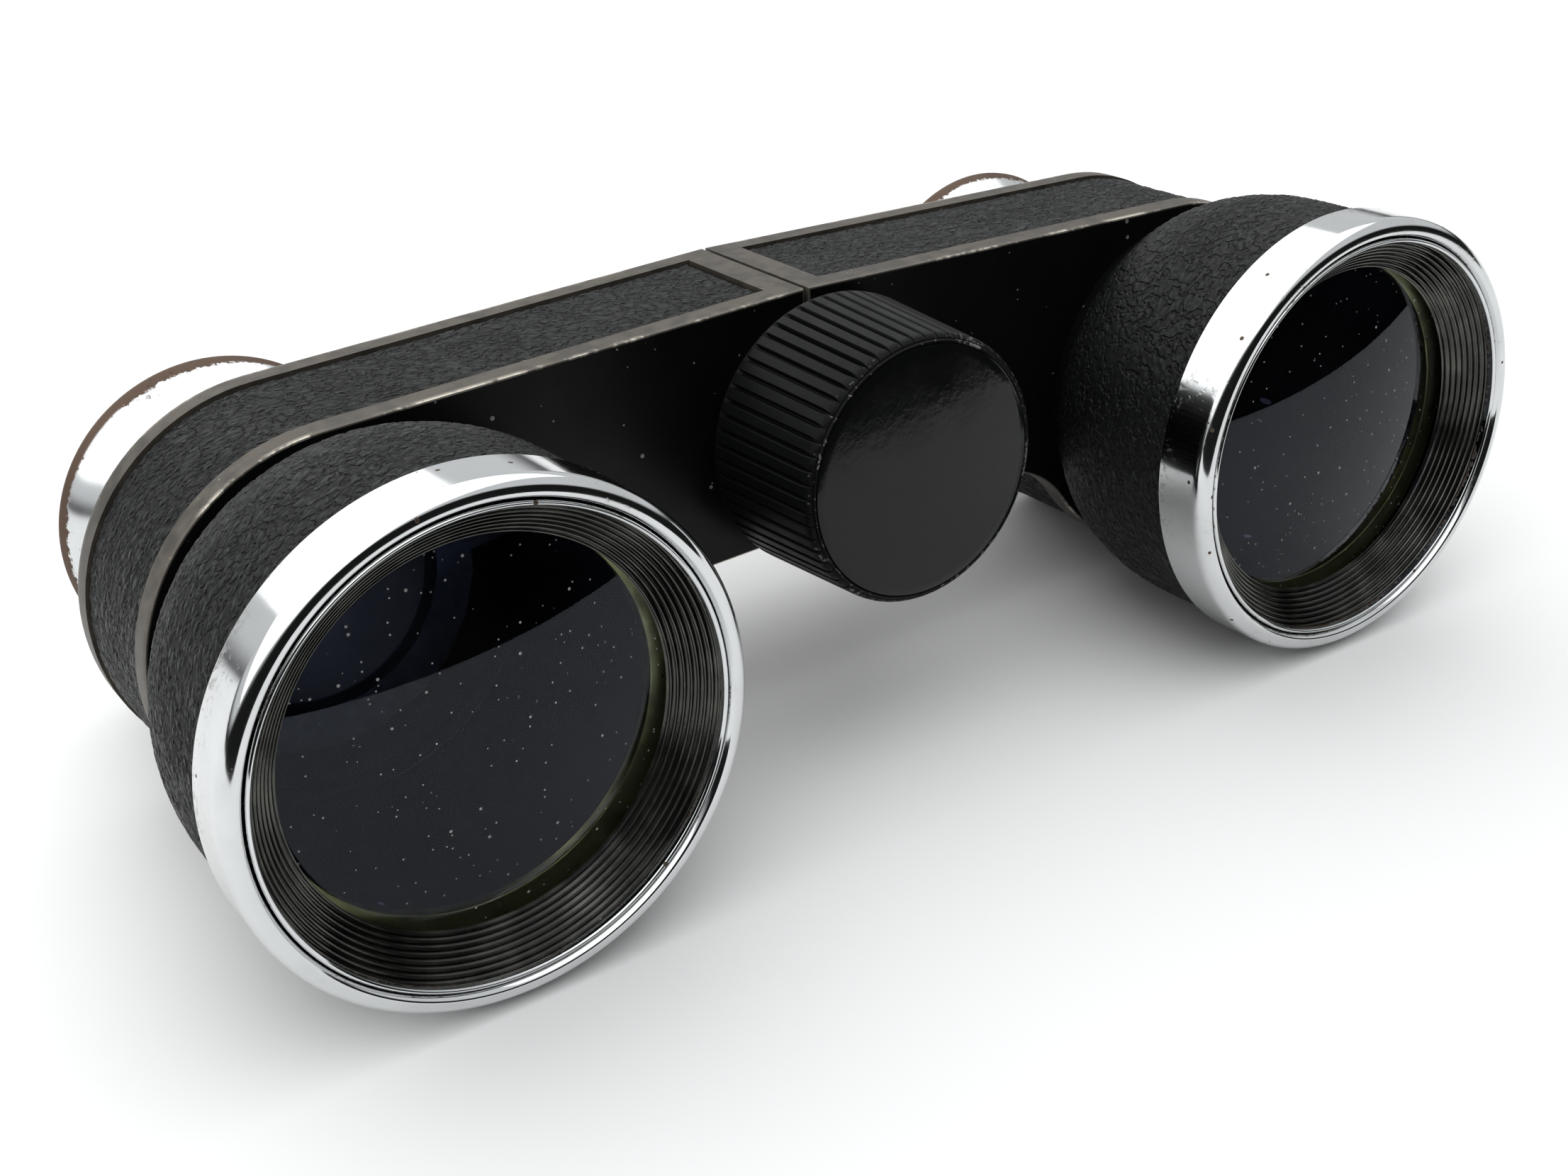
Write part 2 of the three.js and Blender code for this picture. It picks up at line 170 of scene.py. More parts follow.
def keep_marks(mesh: bpy.types.Mesh, **marks: Any) -> None:
    """Keeps one number for each point of a mesh, under each name."""
    for name, values in marks.items():
        mesh.attributes.new(name, "FLOAT", "POINT").data.foreach_set("value", values)


def solid(
    name: str,
    verts: Sequence[Any],
    faces: Sequence[Sequence[int]],
    merged: bool = False,
    **marks: Sequence[float],
) -> bpy.types.Object:
    """Makes a closed object from points and faces, with its faces turned outward.

    Args:
        name: The object's name.
        verts: The points, in metres.
        faces: Indices of each face's points.
        merged: Whether points in the same place become one.
        marks: A number for each point, kept under its name.

    Returns:
        The object.
    """
    mesh = bpy.data.meshes.new(name)
    mesh.from_pydata([tuple(v) for v in verts], [], [tuple(f) for f in faces])
    keep_marks(mesh, **marks)
    work = bmesh.new()
    work.from_mesh(mesh)
    if merged:
        bmesh.ops.remove_doubles(work, verts=work.verts, dist=DOUBLES)
    bmesh.ops.recalc_face_normals(work, faces=work.faces)
    work.to_mesh(mesh)
    work.free()
    return place(name, mesh)


def smooth(obj: bpy.types.Object, angle: float = 32.0) -> bpy.types.Object:
    """Shades an object smooth, with its edges kept sharp past an angle.

    Args:
        obj: The object.
        angle: The sharpest bend, in degrees, that still looks round.

    Returns:
        The same object, with its corner normals weighted by face area.
    """
    work = bmesh.new()
    work.from_mesh(obj.data)
    for edge in work.edges:
        edge.smooth = len(edge.link_faces) == 2 and edge.calc_face_angle(0) < math.radians(angle)
    for face in work.faces:
        face.smooth = True
    work.to_mesh(obj.data)
    work.free()
    weighted = obj.modifiers.new("weighted", "WEIGHTED_NORMAL")
    weighted.keep_sharp = True
    return bake(obj)


def combine(obj: bpy.types.Object, other: bpy.types.Object, how: Cut) -> None:
    """Cuts a second solid away from an object, or joins it on, and removes the second."""
    for mesh in (obj.data, other.data):
        mesh.transform(Matrix.Scale(1 / MM, 4))
    modifier = obj.modifiers.new("combine", "BOOLEAN")
    modifier.operation = how.value
    modifier.solver = "MANIFOLD"
    modifier.object = other
    bake(obj)
    obj.data.transform(Matrix.Scale(MM, 4))
    spent = other.data
    bpy.data.objects.remove(other)
    bpy.data.meshes.remove(spent)


def eased(corners: Profile, steps: int = 4) -> list[tuple[float, float, float]]:
    """Rounds the corners of a closed profile.

    Args:
        corners: Radius, station and, where it has them, rounding and wear of each corner.
        steps: Parts in each rounded corner.

    Returns:
        Radius, station and wear of each profile point.
    """
    points = []
    count = len(corners)
    for i, corner in enumerate(corners):
        r, y, ease, wear = (*corner, 0.0, 0.0)[:4]
        here = np.array((r, y))
        sides = []
        for other in (corners[i - 1], corners[(i + 1) % count]):
            step = np.array(other[:2]) - here
            length = float(np.hypot(*step))
            sides.append(here + step / max(length, 1e-9) * min(ease, 0.45 * length))
        if ease <= 0 or r == 0:
            points.append((r, y, wear))
            continue
        for k in range(steps + 1):
            t = k / steps
            at = (1 - t) ** 2 * sides[0] + 2 * t * (1 - t) * here + t * t * sides[1]
            points.append((float(at[0]), float(at[1]), wear))
    return points


def revolve(
    name: str,
    profile: Profile,
    layout: Layout,
    centre: Point2,
    segments: int = 144,
) -> bpy.types.Object:
    """Turns a profile about a line along Y.

    Args:
        name: The object's name.
        profile: Radius, station and, where it has one, wear of each point. It closes on itself.
        layout: Where the stations are.
        centre: X and Z of the axis.
        segments: Steps around the axis.

    Returns:
        The turned solid, with its wear kept as a point attribute.
    """
    angles = [2 * math.pi * k / segments for k in range(segments)]
    verts: list[tuple[float, float, float]] = []
    wears: list[float] = []
    rows: list[list[int]] = []
    for entry in profile:
        r, y = entry[0] * MM, layout.station(entry[1])
        ring = angles if r > 1e-9 else [0.0]
        start = len(verts)
        verts.extend((centre[0] + r * math.sin(a), y, centre[1] + r * math.cos(a)) for a in ring)
        wears.extend([entry[2] if len(entry) > 2 else 0.0] * len(ring))
        rows.append([start + (k % len(ring)) for k in range(segments)])
    faces = []
    for i, row in enumerate(rows):
        following = rows[(i + 1) % len(rows)]
        for k in range(segments):
            n = (k + 1) % segments
            corners = [row[k], row[n], following[n], following[k]]
            loop = [c for j, c in enumerate(corners) if c != corners[j - 1]]
            if len(loop) > 2:
                faces.append(loop)
    return solid(name, verts, faces, wear=wears)


def rod(layout: Layout, centre: Point2, radius: float, start: float, end: float) -> bpy.types.Object:
    """A plain round cutter along Y between two stations."""
    profile = [(0, start), (radius, start), (radius, end), (0, end)]
    return revolve("cutter", profile, layout, centre, 96)


def loft(
    name: str,
    rows: Sequence[Sequence[Any]],
    ring: bool = False,
    merged: bool = False,
    **marks: Sequence[float],
) -> bpy.types.Object:
    """Makes a closed skin over sections that each close on themselves.

    Args:
        name: The object's name.
        rows: The points of each section, in metres, all of one length.
        ring: Whether the last section joins the first. Otherwise both ends are capped.
        merged: Whether points in the same place become one.
        marks: A number for each point, kept under its name.

    Returns:
        The skin.
    """
    across = len(rows[0])
    total = across * len(rows)
    caps = [] if ring else [range(across), range(total - 1, total - 1 - across, -1)]
    faces: list[Sequence[int]] = [*caps]
    for start in range(0, total if ring else total - across, across):
        for j in range(across):
            a, b = start + j, start + (j + 1) % across
            faces.append((a, b, (b + across) % total, (a + across) % total))
    return solid(name, [point for row in rows for point in row], faces, merged, **marks)


def stack(
    name: str,
    layers: Sequence[tuple[Sequence[Point2], float]],
    layout: Layout,
    side: Side,
) -> bpy.types.Object:
    """Joins outlines of equal length, laid behind each other, into one capped solid.

    Args:
        name: The object's name.
        layers: Each outline in (u, v) with its station, front to back.
        layout: Where the half stands.
        side: The half.

    Returns:
        The capped solid.
    """
    rows = [[layout.half_point(side, u, v, station) for u, v in outline] for outline, station in layers]
    return loft(name, rows, merged=True)


def grained(
    name: str,
    rows: Sequence[Sequence[Vector]],
    heights: Sequence[float],
    ring: bool,
) -> bpy.types.Object:
    """Makes a leather skin, smooth but for its capped ends.

    Args:
        name: The object's name.
        rows: The points of each section.
        heights: Relief height of each point, kept as a mark.
        ring: Whether the last section joins the first.

    Returns:
        The skin.
    """
    obj = loft(name, rows, ring, relief=heights)
    for face in obj.data.polygons:
        face.use_smooth = len(face.vertices) == 4
    return obj


def pebble(along: float, across: float, seed: float) -> float:
    """Height of pressed leather grain, 0 to 1, at a point of a skin in millimetres."""
    a = along * 0.95 + across * 0.31
    b = across * 0.95 - along * 0.31
    sway = noise.noise(Vector((a * 0.9, b * 0.9, seed))) * 0.35
    near = noise.voronoi(Vector((a / 0.78 + sway, b / 0.36 + sway, seed)))[0]
    cell = min(1.0, (near[1] - near[0]) * 2.4)
    swell = 0.5 + 0.5 * noise.noise(Vector((a / 2.6, b / 1.4, seed + 9.0)))
    return math.sqrt(max(cell, 0.0)) * (0.65 + 0.35 * swell)


# --- Finishes -------------------------------------------------------------------------------


class Nodes:
    """Adds and joins the nodes of one tree."""

    def __init__(self, tree: bpy.types.NodeTree) -> None:
        """Starts on a tree, which it empties.

        Args:
            tree: The tree that the nodes go into.
        """
        self.tree = tree
        tree.nodes.clear()

    def node(self, kind: str, inputs: dict[Any, Any] | None = None, **settings: Any) -> bpy.types.Node:
        """Adds a node.

        Args:
            kind: The node's type.
            inputs: The value or link of each input, by name or number.
            settings: The node's own properties.

        Returns:
            The node.
        """
        made = self.tree.nodes.new(kind)
        for key, value in settings.items():
            setattr(made, key, value)
        for key, value in (inputs or {}).items():
            self.feed(made.inputs[key], value)
        return made

    def feed(self, socket: bpy.types.NodeSocket, value: Any) -> None:
        """Links an output to a socket, or sets the socket's own value."""
        if isinstance(value, bpy.types.NodeSocket):
            self.tree.links.new(value, socket)
        elif socket.type == "RGBA" and len(value) == 3:
            socket.default_value = (*value, 1.0)
        else:
            socket.default_value = value

    def sums(self, operation: str, first: Any, second: Any, clamp: bool = False) -> bpy.types.NodeSocket:
        """Does one sum on two numbers or outputs."""
        made = self.node("ShaderNodeMath", {0: first, 1: second}, operation=operation, use_clamp=clamp)
        return made.outputs[0]

    def plus(self, first: Any, second: Any, clamp: bool = False) -> bpy.types.NodeSocket:
        """Adds two values."""
        return self.sums("ADD", first, second, clamp)

    def minus(self, first: Any, second: Any) -> bpy.types.NodeSocket:
        """Takes the second value from the first."""
        return self.sums("SUBTRACT", first, second)

    def times(self, first: Any, second: Any, clamp: bool = False) -> bpy.types.NodeSocket:
        """Multiplies two values."""
        return self.sums("MULTIPLY", first, second, clamp)

    def most(self, first: Any, second: Any) -> bpy.types.NodeSocket:
        """The larger of two values."""
        return self.sums("MAXIMUM", first, second)

    def reach(self, value: Any, low: float, high: float, to_low: float = 0.0, to_high: float = 1.0) -> Any:
        """Stretches a value from one range to another, with a smooth start and end."""
        ends = {"From Min": low, "From Max": high, "To Min": to_low, "To Max": to_high}
        made = self.node("ShaderNodeMapRange", {"Value": value, **ends}, interpolation_type="SMOOTHSTEP")
        return made.outputs["Result"]


class Bench(Nodes):
    """The nodes of one material."""

    def __init__(self, name: str) -> None:
        """Starts an empty material.

        Args:
            name: The material's name.
        """
        self.material = bpy.data.materials.new(name)
        self.material.use_nodes = True
        super().__init__(self.material.node_tree)
        self.output = self.node("ShaderNodeOutputMaterial")
        self.place = self.node("ShaderNodeTexCoord").outputs["Object"]

    def stretch(self, scale: tuple[float, float, float]) -> bpy.types.NodeSocket:
        """Object coordinates scaled unevenly, for grain with a direction."""
        return self.node("ShaderNodeMapping", {"Vector": self.place, "Scale": scale}).outputs["Vector"]

    def clouds(self, scale: float, detail: float = 3.0, vector: Any = None) -> bpy.types.NodeSocket:
        """Soft noise of a given scale per metre."""
        inputs = {"Vector": vector or self.place, "Scale": scale, "Detail": detail}
        return self.node("ShaderNodeTexNoise", inputs).outputs["Fac"]

    def specks(self, scale: float, size: float, share: float) -> bpy.types.NodeSocket:
        """Small round specks in some of the cells of a grid.

        Args:
            scale: Cells per metre.
            size: Speck radius as a share of a cell.
            share: Share of the cells that hold one.

        Returns:
            1 on a speck and 0 elsewhere.
        """
        cells = self.node("ShaderNodeTexVoronoi", {"Vector": self.place, "Scale": scale})
        colour = self.node("ShaderNodeSeparateColor", {0: cells.outputs["Color"]})
        near = self.sums("LESS_THAN", cells.outputs["Distance"], size)
        return self.times(near, self.sums("LESS_THAN", colour.outputs[0], share))

    def blend(self, amount: Any, first: Any, second: Any) -> bpy.types.NodeSocket:
        """Mixes two colours."""
        return self.node("ShaderNodeMix", {0: amount, 6: first, 7: second}, data_type="RGBA").outputs[2]

    def either(self, amount: Any, first: bpy.types.Node, second: bpy.types.Node) -> bpy.types.Node:
        """Mixes two shaders."""
        return self.node("ShaderNodeMixShader", {0: amount, 1: first.outputs[0], 2: second.outputs[0]})

    def mark(self, name: str) -> bpy.types.NodeSocket:
        """Reads one of a mesh's own attributes."""
        return self.node("ShaderNodeAttribute", attribute_name=name).outputs["Fac"]

    def bump(self, height: Any, distance: float, strength: float = 1.0, below: Any = None) -> Any:
        """Turns a height into a bent normal, on top of another."""
        made = self.node("ShaderNodeBump", {"Strength": strength, "Distance": distance, "Height": height})
        if below is not None:
            self.feed(made.inputs["Normal"], below)
        return made.outputs["Normal"]

    def surface(self, **inputs: Any) -> bpy.types.Node:
        """Adds the surface shader, with its inputs by name, and joins it to the output."""
        named = {key.replace("_", " "): value for key, value in inputs.items()}
        shader = self.node("ShaderNodeBsdfPrincipled", named)
        self.feed(self.output.inputs["Surface"], shader.outputs["BSDF"])
        return shader


@dataclass(frozen=True)
class Enamel:
    """Satin black enamel on brass, with worn rims and a little dust."""

    name: str = "satin_enamel"
    base: Colour = (0.003, 0.0032, 0.0036)
    bronze: Colour = (0.1, 0.088, 0.072)
    bare: Colour = (0.62, 0.58, 0.5)
    dust: float = 0.5

    def build(self) -> bpy.types.Material:
        """Makes the material.

        Returns:
            The enamel, with rims browned by handling and edges rubbed to bare metal.
        """
        bench = Bench(self.name)
        broad = bench.clouds(260, 4)
        fine = bench.clouds(2400, 3)
        blotches = bench.reach(bench.plus(broad, bench.clouds(900, 3)), 0.75, 1.15, 0.5, 1.0)
        rim = bench.times(bench.mark("rim"), blotches)
        chipped = bench.reach(bench.plus(broad, bench.times(fine, 0.35)), 0.64, 0.78)
        edge = bench.times(bench.mark("edge"), bench.plus(chipped, 0.14), clamp=True)
        colour = bench.blend(rim, self.base, self.bronze)
        colour = bench.blend(edge, colour, self.bare)
        lint = bench.times(bench.most(bench.specks(620, 0.1, 0.07), bench.specks(1500, 0.1, 0.14)), self.dust)
        colour = bench.blend(lint, colour, (0.42, 0.42, 0.42))
        inside = bench.mark("inside")
        metal = bench.most(edge, bench.times(rim, 0.45))
        rough = bench.plus(bench.reach(broad, 0.2, 0.8, 0.3, 0.42), bench.times(lint, 0.4))
        rough = bench.plus(rough, bench.times(rim, 0.12))
        rough = bench.plus(rough, bench.times(inside, 0.55), clamp=True)
        height = bench.plus(bench.clouds(5200, 2), bench.times(broad, 1.6))
        height = bench.times(height, bench.minus(1.0, inside))
        bench.surface(
            Base_Color=colour,
            Metallic=metal,
            Roughness=rough,
            Specular_IOR_Level=0.16,
            Normal=bench.bump(height, 0.000012, 0.35),
        )
        return bench.material


@dataclass(frozen=True)
class Leatherette:
    """Black pressed leatherette with dull creases and rubbed tops, its colour darkened by painted shade in
    the creases and grain lows.
    """

    name: str = "leatherette"
    # Darkest colour, laid as painted shade in the grain lows and along the crease lines.
    crease_and_shade: Colour = (0.003, 0.0032, 0.0034)
    top: Colour = (0.0085, 0.0098, 0.009)

    def build(self) -> bpy.types.Material:
        """Makes the material.

        Returns:
            The leatherette.
        """
        bench = Bench(self.name)
        relief = bench.mark("relief")
        patchy = bench.clouds(170, 4)
        crease_and_shade = bench.sums("ABSOLUTE", bench.minus(bench.clouds(950, 2), 0.5), 0.0)
        grain = bench.reach(crease_and_shade, 0.0, 0.07)
        # Share of the top colour: it falls in the grain lows and crease lines, which get painted shade.
        unshaded_share = bench.times(bench.reach(relief, 0.25, 0.95), bench.reach(patchy, 0.2, 0.8, 0.6, 1.0))
        unshaded_share = bench.times(unshaded_share, bench.plus(bench.times(grain, 0.6), 0.4))
        # Painted shade: the colour darkens from the top colour to the crease colour where the grain is low
        # and along the crease lines.
        colour = bench.blend(unshaded_share, self.crease_and_shade, self.top)
        lint = bench.times(bench.specks(900, 0.1, 0.03), 0.35)
        colour = bench.blend(lint, colour, (0.4, 0.4, 0.39))
        rough = bench.reach(relief, 0.1, 1.0, 0.6, 0.38)
        rough = bench.plus(rough, bench.reach(patchy, 0.2, 0.8, -0.05, 0.06))
        height = bench.plus(bench.times(bench.clouds(3400, 2), 0.3), grain)
        bench.surface(
            Base_Color=colour,
            Roughness=rough,
            Specular_IOR_Level=0.17,
            Normal=bench.bump(height, 0.00012, 1.0),
        )
        return bench.material


@dataclass(frozen=True)
class Chrome:
    """Bright plating with pin-prick pits, faint haze and a worn brown edge."""

    name: str = "chrome"
    plate: Colour = (0.66, 0.675, 0.68)
    pit: Colour = (0.1, 0.08, 0.06)
    worn: Colour = (0.1, 0.062, 0.042)
    pits: float = 0.12
    haze: float = 0.02

    def build(self) -> bpy.types.Material:
        """Makes the material.

        Returns:
            The plating.
        """
        bench = Bench(self.name)
        haze = bench.clouds(190, 5)
        grain = bench.clouds(3200, 3)
        rust = bench.times(bench.reach(bench.clouds(2300, 3), 0.6, 0.66), bench.reach(haze, 0.5, 0.62))
        pitted = bench.most(bench.specks(1100, 0.16, 0.12), bench.times(rust, self.pits))
        rub = bench.plus(bench.mark("wear"), bench.reach(bench.plus(haze, grain), 0.85, 1.25, -0.45, 0.25))
        worn = bench.times(bench.reach(rub, 0.35, 0.8), bench.reach(bench.mark("wear"), 0.02, 0.3))
        colour = bench.blend(bench.reach(haze, 0.35, 0.75, 0.0, 0.3), self.plate, (0.42, 0.43, 0.41))
        colour = bench.blend(worn, colour, self.worn)
        colour = bench.blend(pitted, colour, self.pit)
        black = bench.mark("blackened")
        colour = bench.blend(black, colour, (0.006, 0.006, 0.006))
        dull = bench.most(bench.times(worn, 0.4), black)
        metal = bench.minus(1.0, dull)
        rough = bench.reach(haze, 0.25, 0.8, 0.04 + self.haze, 0.1 + self.haze)
        rough = bench.plus(rough, bench.times(worn, 0.4))
        rough = bench.plus(rough, bench.times(pitted, 0.5), clamp=True)
        rough = bench.plus(rough, bench.times(black, 0.6), clamp=True)
        dent = bench.bump(bench.minus(1.0, pitted), 0.00003, 0.6)
        bench.surface(
            Base_Color=colour,
            Metallic=metal,
            Roughness=rough,
            Normal=bench.bump(haze, 0.00003, 0.12, dent),
        )
        return bench.material


@dataclass(frozen=True)
class Moulding:
    """Black knob plastic: orange peel on the face, rubbed pale along the front edge."""

    name: str = "knob_black"
    base: Colour = (0.004, 0.0043, 0.0045)
    rubbed: Colour = (0.2, 0.2, 0.19)
    peel: float = 0.00003
    rough: float = 0.36
    gloss: float = 0.08

    def build(self) -> bpy.types.Material:
        """Makes the material.

        Returns:
            The moulded black.
        """
        bench = Bench(self.name)
        broad = bench.clouds(420, 4)
        fine = bench.clouds(3600, 2)
        wear = bench.plus(bench.mark("wear"), bench.reach(bench.plus(broad, fine), 0.8, 1.3, -0.5, 0.2))
        wear = bench.times(bench.reach(wear, 0.4, 0.75), bench.reach(bench.mark("wear"), 0.05, 0.3))
        colour = bench.blend(wear, self.base, self.rubbed)
        lint = bench.times(bench.specks(760, 0.1, 0.04), 0.55)
        colour = bench.blend(lint, colour, (0.45, 0.45, 0.44))
        rough = bench.reach(broad, 0.2, 0.8, self.rough, self.rough + 0.1)
        rough = bench.plus(rough, bench.times(wear, 0.15))
        height = bench.plus(bench.clouds(1500, 2), bench.times(bench.clouds(4200, 1), 0.3))
        bench.surface(
            Base_Color=colour,
            Roughness=rough,
            Specular_IOR_Level=self.gloss,
            Normal=bench.bump(height, self.peel, 0.5),
        )
        return bench.material


@dataclass(frozen=True)
class BaffleBlack:
    """Blackened metal whose ridge tops catch the light."""

    name: str = "baffle_black"
    base: Colour = (0.055, 0.057, 0.052)

    def build(self) -> bpy.types.Material:
        """Makes the material.

        Returns:
            The blackened metal.
        """
        bench = Bench(self.name)
        broad = bench.clouds(500, 4)
        colour = bench.blend(bench.reach(broad, 0.35, 0.8), self.base, (0.13, 0.13, 0.115))
        lint = bench.times(bench.specks(1300, 0.12, 0.06), 0.5)
        colour = bench.blend(lint, colour, (0.4, 0.41, 0.4))
        bench.surface(
            Base_Color=colour,
            Metallic=0.9,
            Roughness=bench.reach(broad, 0.2, 0.8, 0.16, 0.26),
            Normal=bench.bump(bench.clouds(4000, 2), 0.00001, 0.4),
        )
        return bench.material


@dataclass(frozen=True)
class Glass:
    """Polished lens glass, coated or plain, with settled dust."""

    name: str = "coated_glass"
    tint: Colour = (0.7, 0.76, 0.98)
    coat: Colour = (0.8, 0.88, 1.0)
    dust: float = 0.5
    ior: float = 1.33

    def build(self) -> bpy.types.Material:
        """Makes the material.

        Returns:
            The glass. It lets lamp light through to what lies behind it.
        """
        bench = Bench(self.name)
        specks = bench.most(bench.specks(900, 0.08, 0.45), bench.specks(1900, 0.1, 0.5))
        dusty = bench.times(specks, self.dust)
        film = bench.reach(bench.clouds(120, 4), 0.3, 0.8, 0.0, 0.004)
        veil = bench.plus(dusty, film, clamp=True)
        shader = bench.surface(
            Base_Color=self.tint,
            Roughness=bench.times(dusty, 0.6),
            IOR=self.ior,
            Transmission_Weight=1.0,
            Specular_Tint=bench.blend(bench.mark("coated"), (0.06, 0.06, 0.08), self.coat),
        )
        bent = {"Color": self.tint, "Roughness": 0.0, "IOR": self.ior}
        inner = bench.node("ShaderNodeBsdfRefraction", bent)
        powder = bench.node("ShaderNodeBsdfDiffuse", {"Color": (0.6, 0.6, 0.58)})
        clear = bench.node("ShaderNodeBsdfTransparent", {"Color": (0.85, 0.86, 0.9)})
        dusted = bench.either(veil, shader, powder)
        rear = bench.node("ShaderNodeNewGeometry").outputs["Backfacing"]
        shadow = bench.node("ShaderNodeLightPath").outputs["Is Shadow Ray"]
        lit = bench.either(shadow, bench.either(rear, dusted, inner), clear)
        bench.feed(bench.output.inputs["Surface"], lit.outputs[0])
        return bench.material


@dataclass(frozen=True)
class Metal:
    """Turned bare metal with tool lines and tarnish."""

    name: str
    bright: Colour
    dull: Colour
    rough: float = 0.25

    def build(self) -> bpy.types.Material:
        """Makes the material.

        Returns:
            The metal.
        """
        bench = Bench(self.name)
        tarnish = bench.clouds(420, 5)
        lines = bench.clouds(900, 2, bench.stretch((1.0, 14.0, 1.0)))
        bench.surface(
            Base_Color=bench.blend(bench.reach(tarnish, 0.3, 0.75), self.bright, self.dull),
            Metallic=1.0,
            Roughness=bench.reach(tarnish, 0.2, 0.8, self.rough, self.rough + 0.2),
            Normal=bench.bump(lines, 0.00001, 0.3),
        )
        return bench.material


class Palette:
    """The finishes of the whole object, each made once."""

    def __init__(self) -> None:
        """Builds every finish."""
        self.enamel = Enamel().build()
        self.leatherette = Leatherette().build()
        self.chrome = Chrome().build()
        self.cup_chrome = Chrome(name="cup_chrome", pits=0.8, haze=0.1).build()
        self.fluted = Moulding().build()
        self.face = Moulding(name="knob_face", peel=0.00002, rough=0.1, gloss=0.26).build()
        self.baffle = BaffleBlack().build()
        self.coated = Glass().build()
        plain, sheen = (0.95, 0.97, 0.97), (0.85, 0.9, 1.0)
        self.clear = Glass(name="clear_glass", tint=plain, coat=sheen, dust=0.2).build()
        self.brass = Metal("olive_brass", (0.5, 0.42, 0.16), (0.2, 0.17, 0.07)).build()
        self.olive = Metal("seat_olive", (0.42, 0.36, 0.09), (0.2, 0.17, 0.05)).build()
        self.steel = Metal("turned_steel", (0.6, 0.6, 0.6), (0.36, 0.35, 0.33)).build()


def dress(
    obj: bpy.types.Object,
    material: bpy.types.Material,
    slot: str,
    body: str,
    *nodes: str,
) -> bpy.types.Object:
    """Gives a piece its finish and its place on a body, in place of CAD nodes.

    Args:
        obj: The piece.
        material: Its finish.
        slot: The record's material slot; not used.
        body: The body that it moves with.
        nodes: The CAD nodes that it stands for.

    Returns:
        The same piece.
    """
    obj.data.materials.clear()
    obj.data.materials.append(material)
    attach(obj, body)
    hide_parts(*nodes)
    LOG.info("%s rides on %s, %d faces", obj.name, body, len(obj.data.polygons))
    return obj


# --- Repeats, by Geometry Nodes -------------------------------------------------------------


class Repeat(Nodes):
    """A node tree that repeats one mesh, on top of the mesh that it is used on."""

    def __init__(self, name: str, inputs: dict[str, str]) -> None:
        """Starts a tree.

        Args:
            name: The tree's name.
            inputs: Socket type of each named input.
        """
        super().__init__(bpy.data.node_groups.new(name, "GeometryNodeTree"))
        sockets = [("Geometry", "INPUT", "Geometry"), ("Geometry", "OUTPUT", "Geometry")]
        sockets += [(key, "INPUT", kind) for key, kind in inputs.items()]
        for key, way, kind in sockets:
            self.tree.interface.new_socket(key, in_out=way, socket_type=f"NodeSocket{kind}")
        self.given = self.node("NodeGroupInput").outputs
        self.result = self.node("NodeGroupOutput")

    def vector(self, x: Any, y: Any, z: Any) -> bpy.types.NodeSocket:
        """Puts three numbers together."""
        return self.node("ShaderNodeCombineXYZ", {0: x, 1: y, 2: z}).outputs[0]

    def close(self, points: bpy.types.Node, shape: Any, rotation: Any, scale: Any) -> None:
        """Instances the shape, makes it real, gives it its finish and joins it to the base.

        Args:
            points: Where the copies go.
            shape: The geometry that is copied.
            rotation: Turn of each copy.
            scale: Size of each copy.
        """
        inputs = {"Points": points.outputs[0], "Instance": shape, "Rotation": rotation, "Scale": scale}
        copies = self.node("GeometryNodeInstanceOnPoints", inputs)
        joined = self.node("GeometryNodeJoinGeometry", {0: copies.outputs[0]})
        self.feed(joined.inputs[0], self.given["Geometry"])
        real = self.node("GeometryNodeRealizeInstances", {0: joined.outputs[0]})
        inputs = {"Geometry": real.outputs[0], "Material": self.given["Finish"]}
        finish = self.node("GeometryNodeSetMaterial", inputs)
        self.feed(self.result.inputs[0], finish.outputs[0])

    def use(self, obj: bpy.types.Object, values: dict[str, Any]) -> bpy.types.Object:
        """Runs the tree on an object and keeps the plain mesh.

        Args:
            obj: The base piece.
            values: The value of each named input.

        Returns:
            The same object.
        """
        modifier = obj.modifiers.new("repeat", "NODES")
        modifier.node_group = self.tree
        for item in self.tree.interface.items_tree:
            if item.in_out == "INPUT" and item.name in values:
                modifier[item.identifier] = values[item.name]
        return bake(obj)


def ring_repeat() -> Repeat:
    """A tree that copies a mesh evenly round a line along Y.

    Returns:
        The tree, with inputs Shape, Count, Centre and Finish.
    """
    kinds = {"Shape": "Object", "Count": "Int", "Centre": "Vector", "Finish": "Material"}
    made = Repeat("round_the_axis", kinds)
    given = made.given
    inputs = {"Count": given["Count"], "Start Location": given["Centre"], "Offset": (0.0, 0.0, 0.0)}
    line = made.node("GeometryNodeMeshLine", inputs)
    shape = made.node("GeometryNodeObjectInfo", {"Object": given["Shape"]})
    share = made.sums("DIVIDE", made.node("GeometryNodeInputIndex").outputs[0], given["Count"])
    turn = made.vector(0.0, made.times(share, 2 * math.pi), 0.0)
    made.close(line, shape.outputs["Geometry"], turn, (1.0, 1.0, 1.0))
    return made


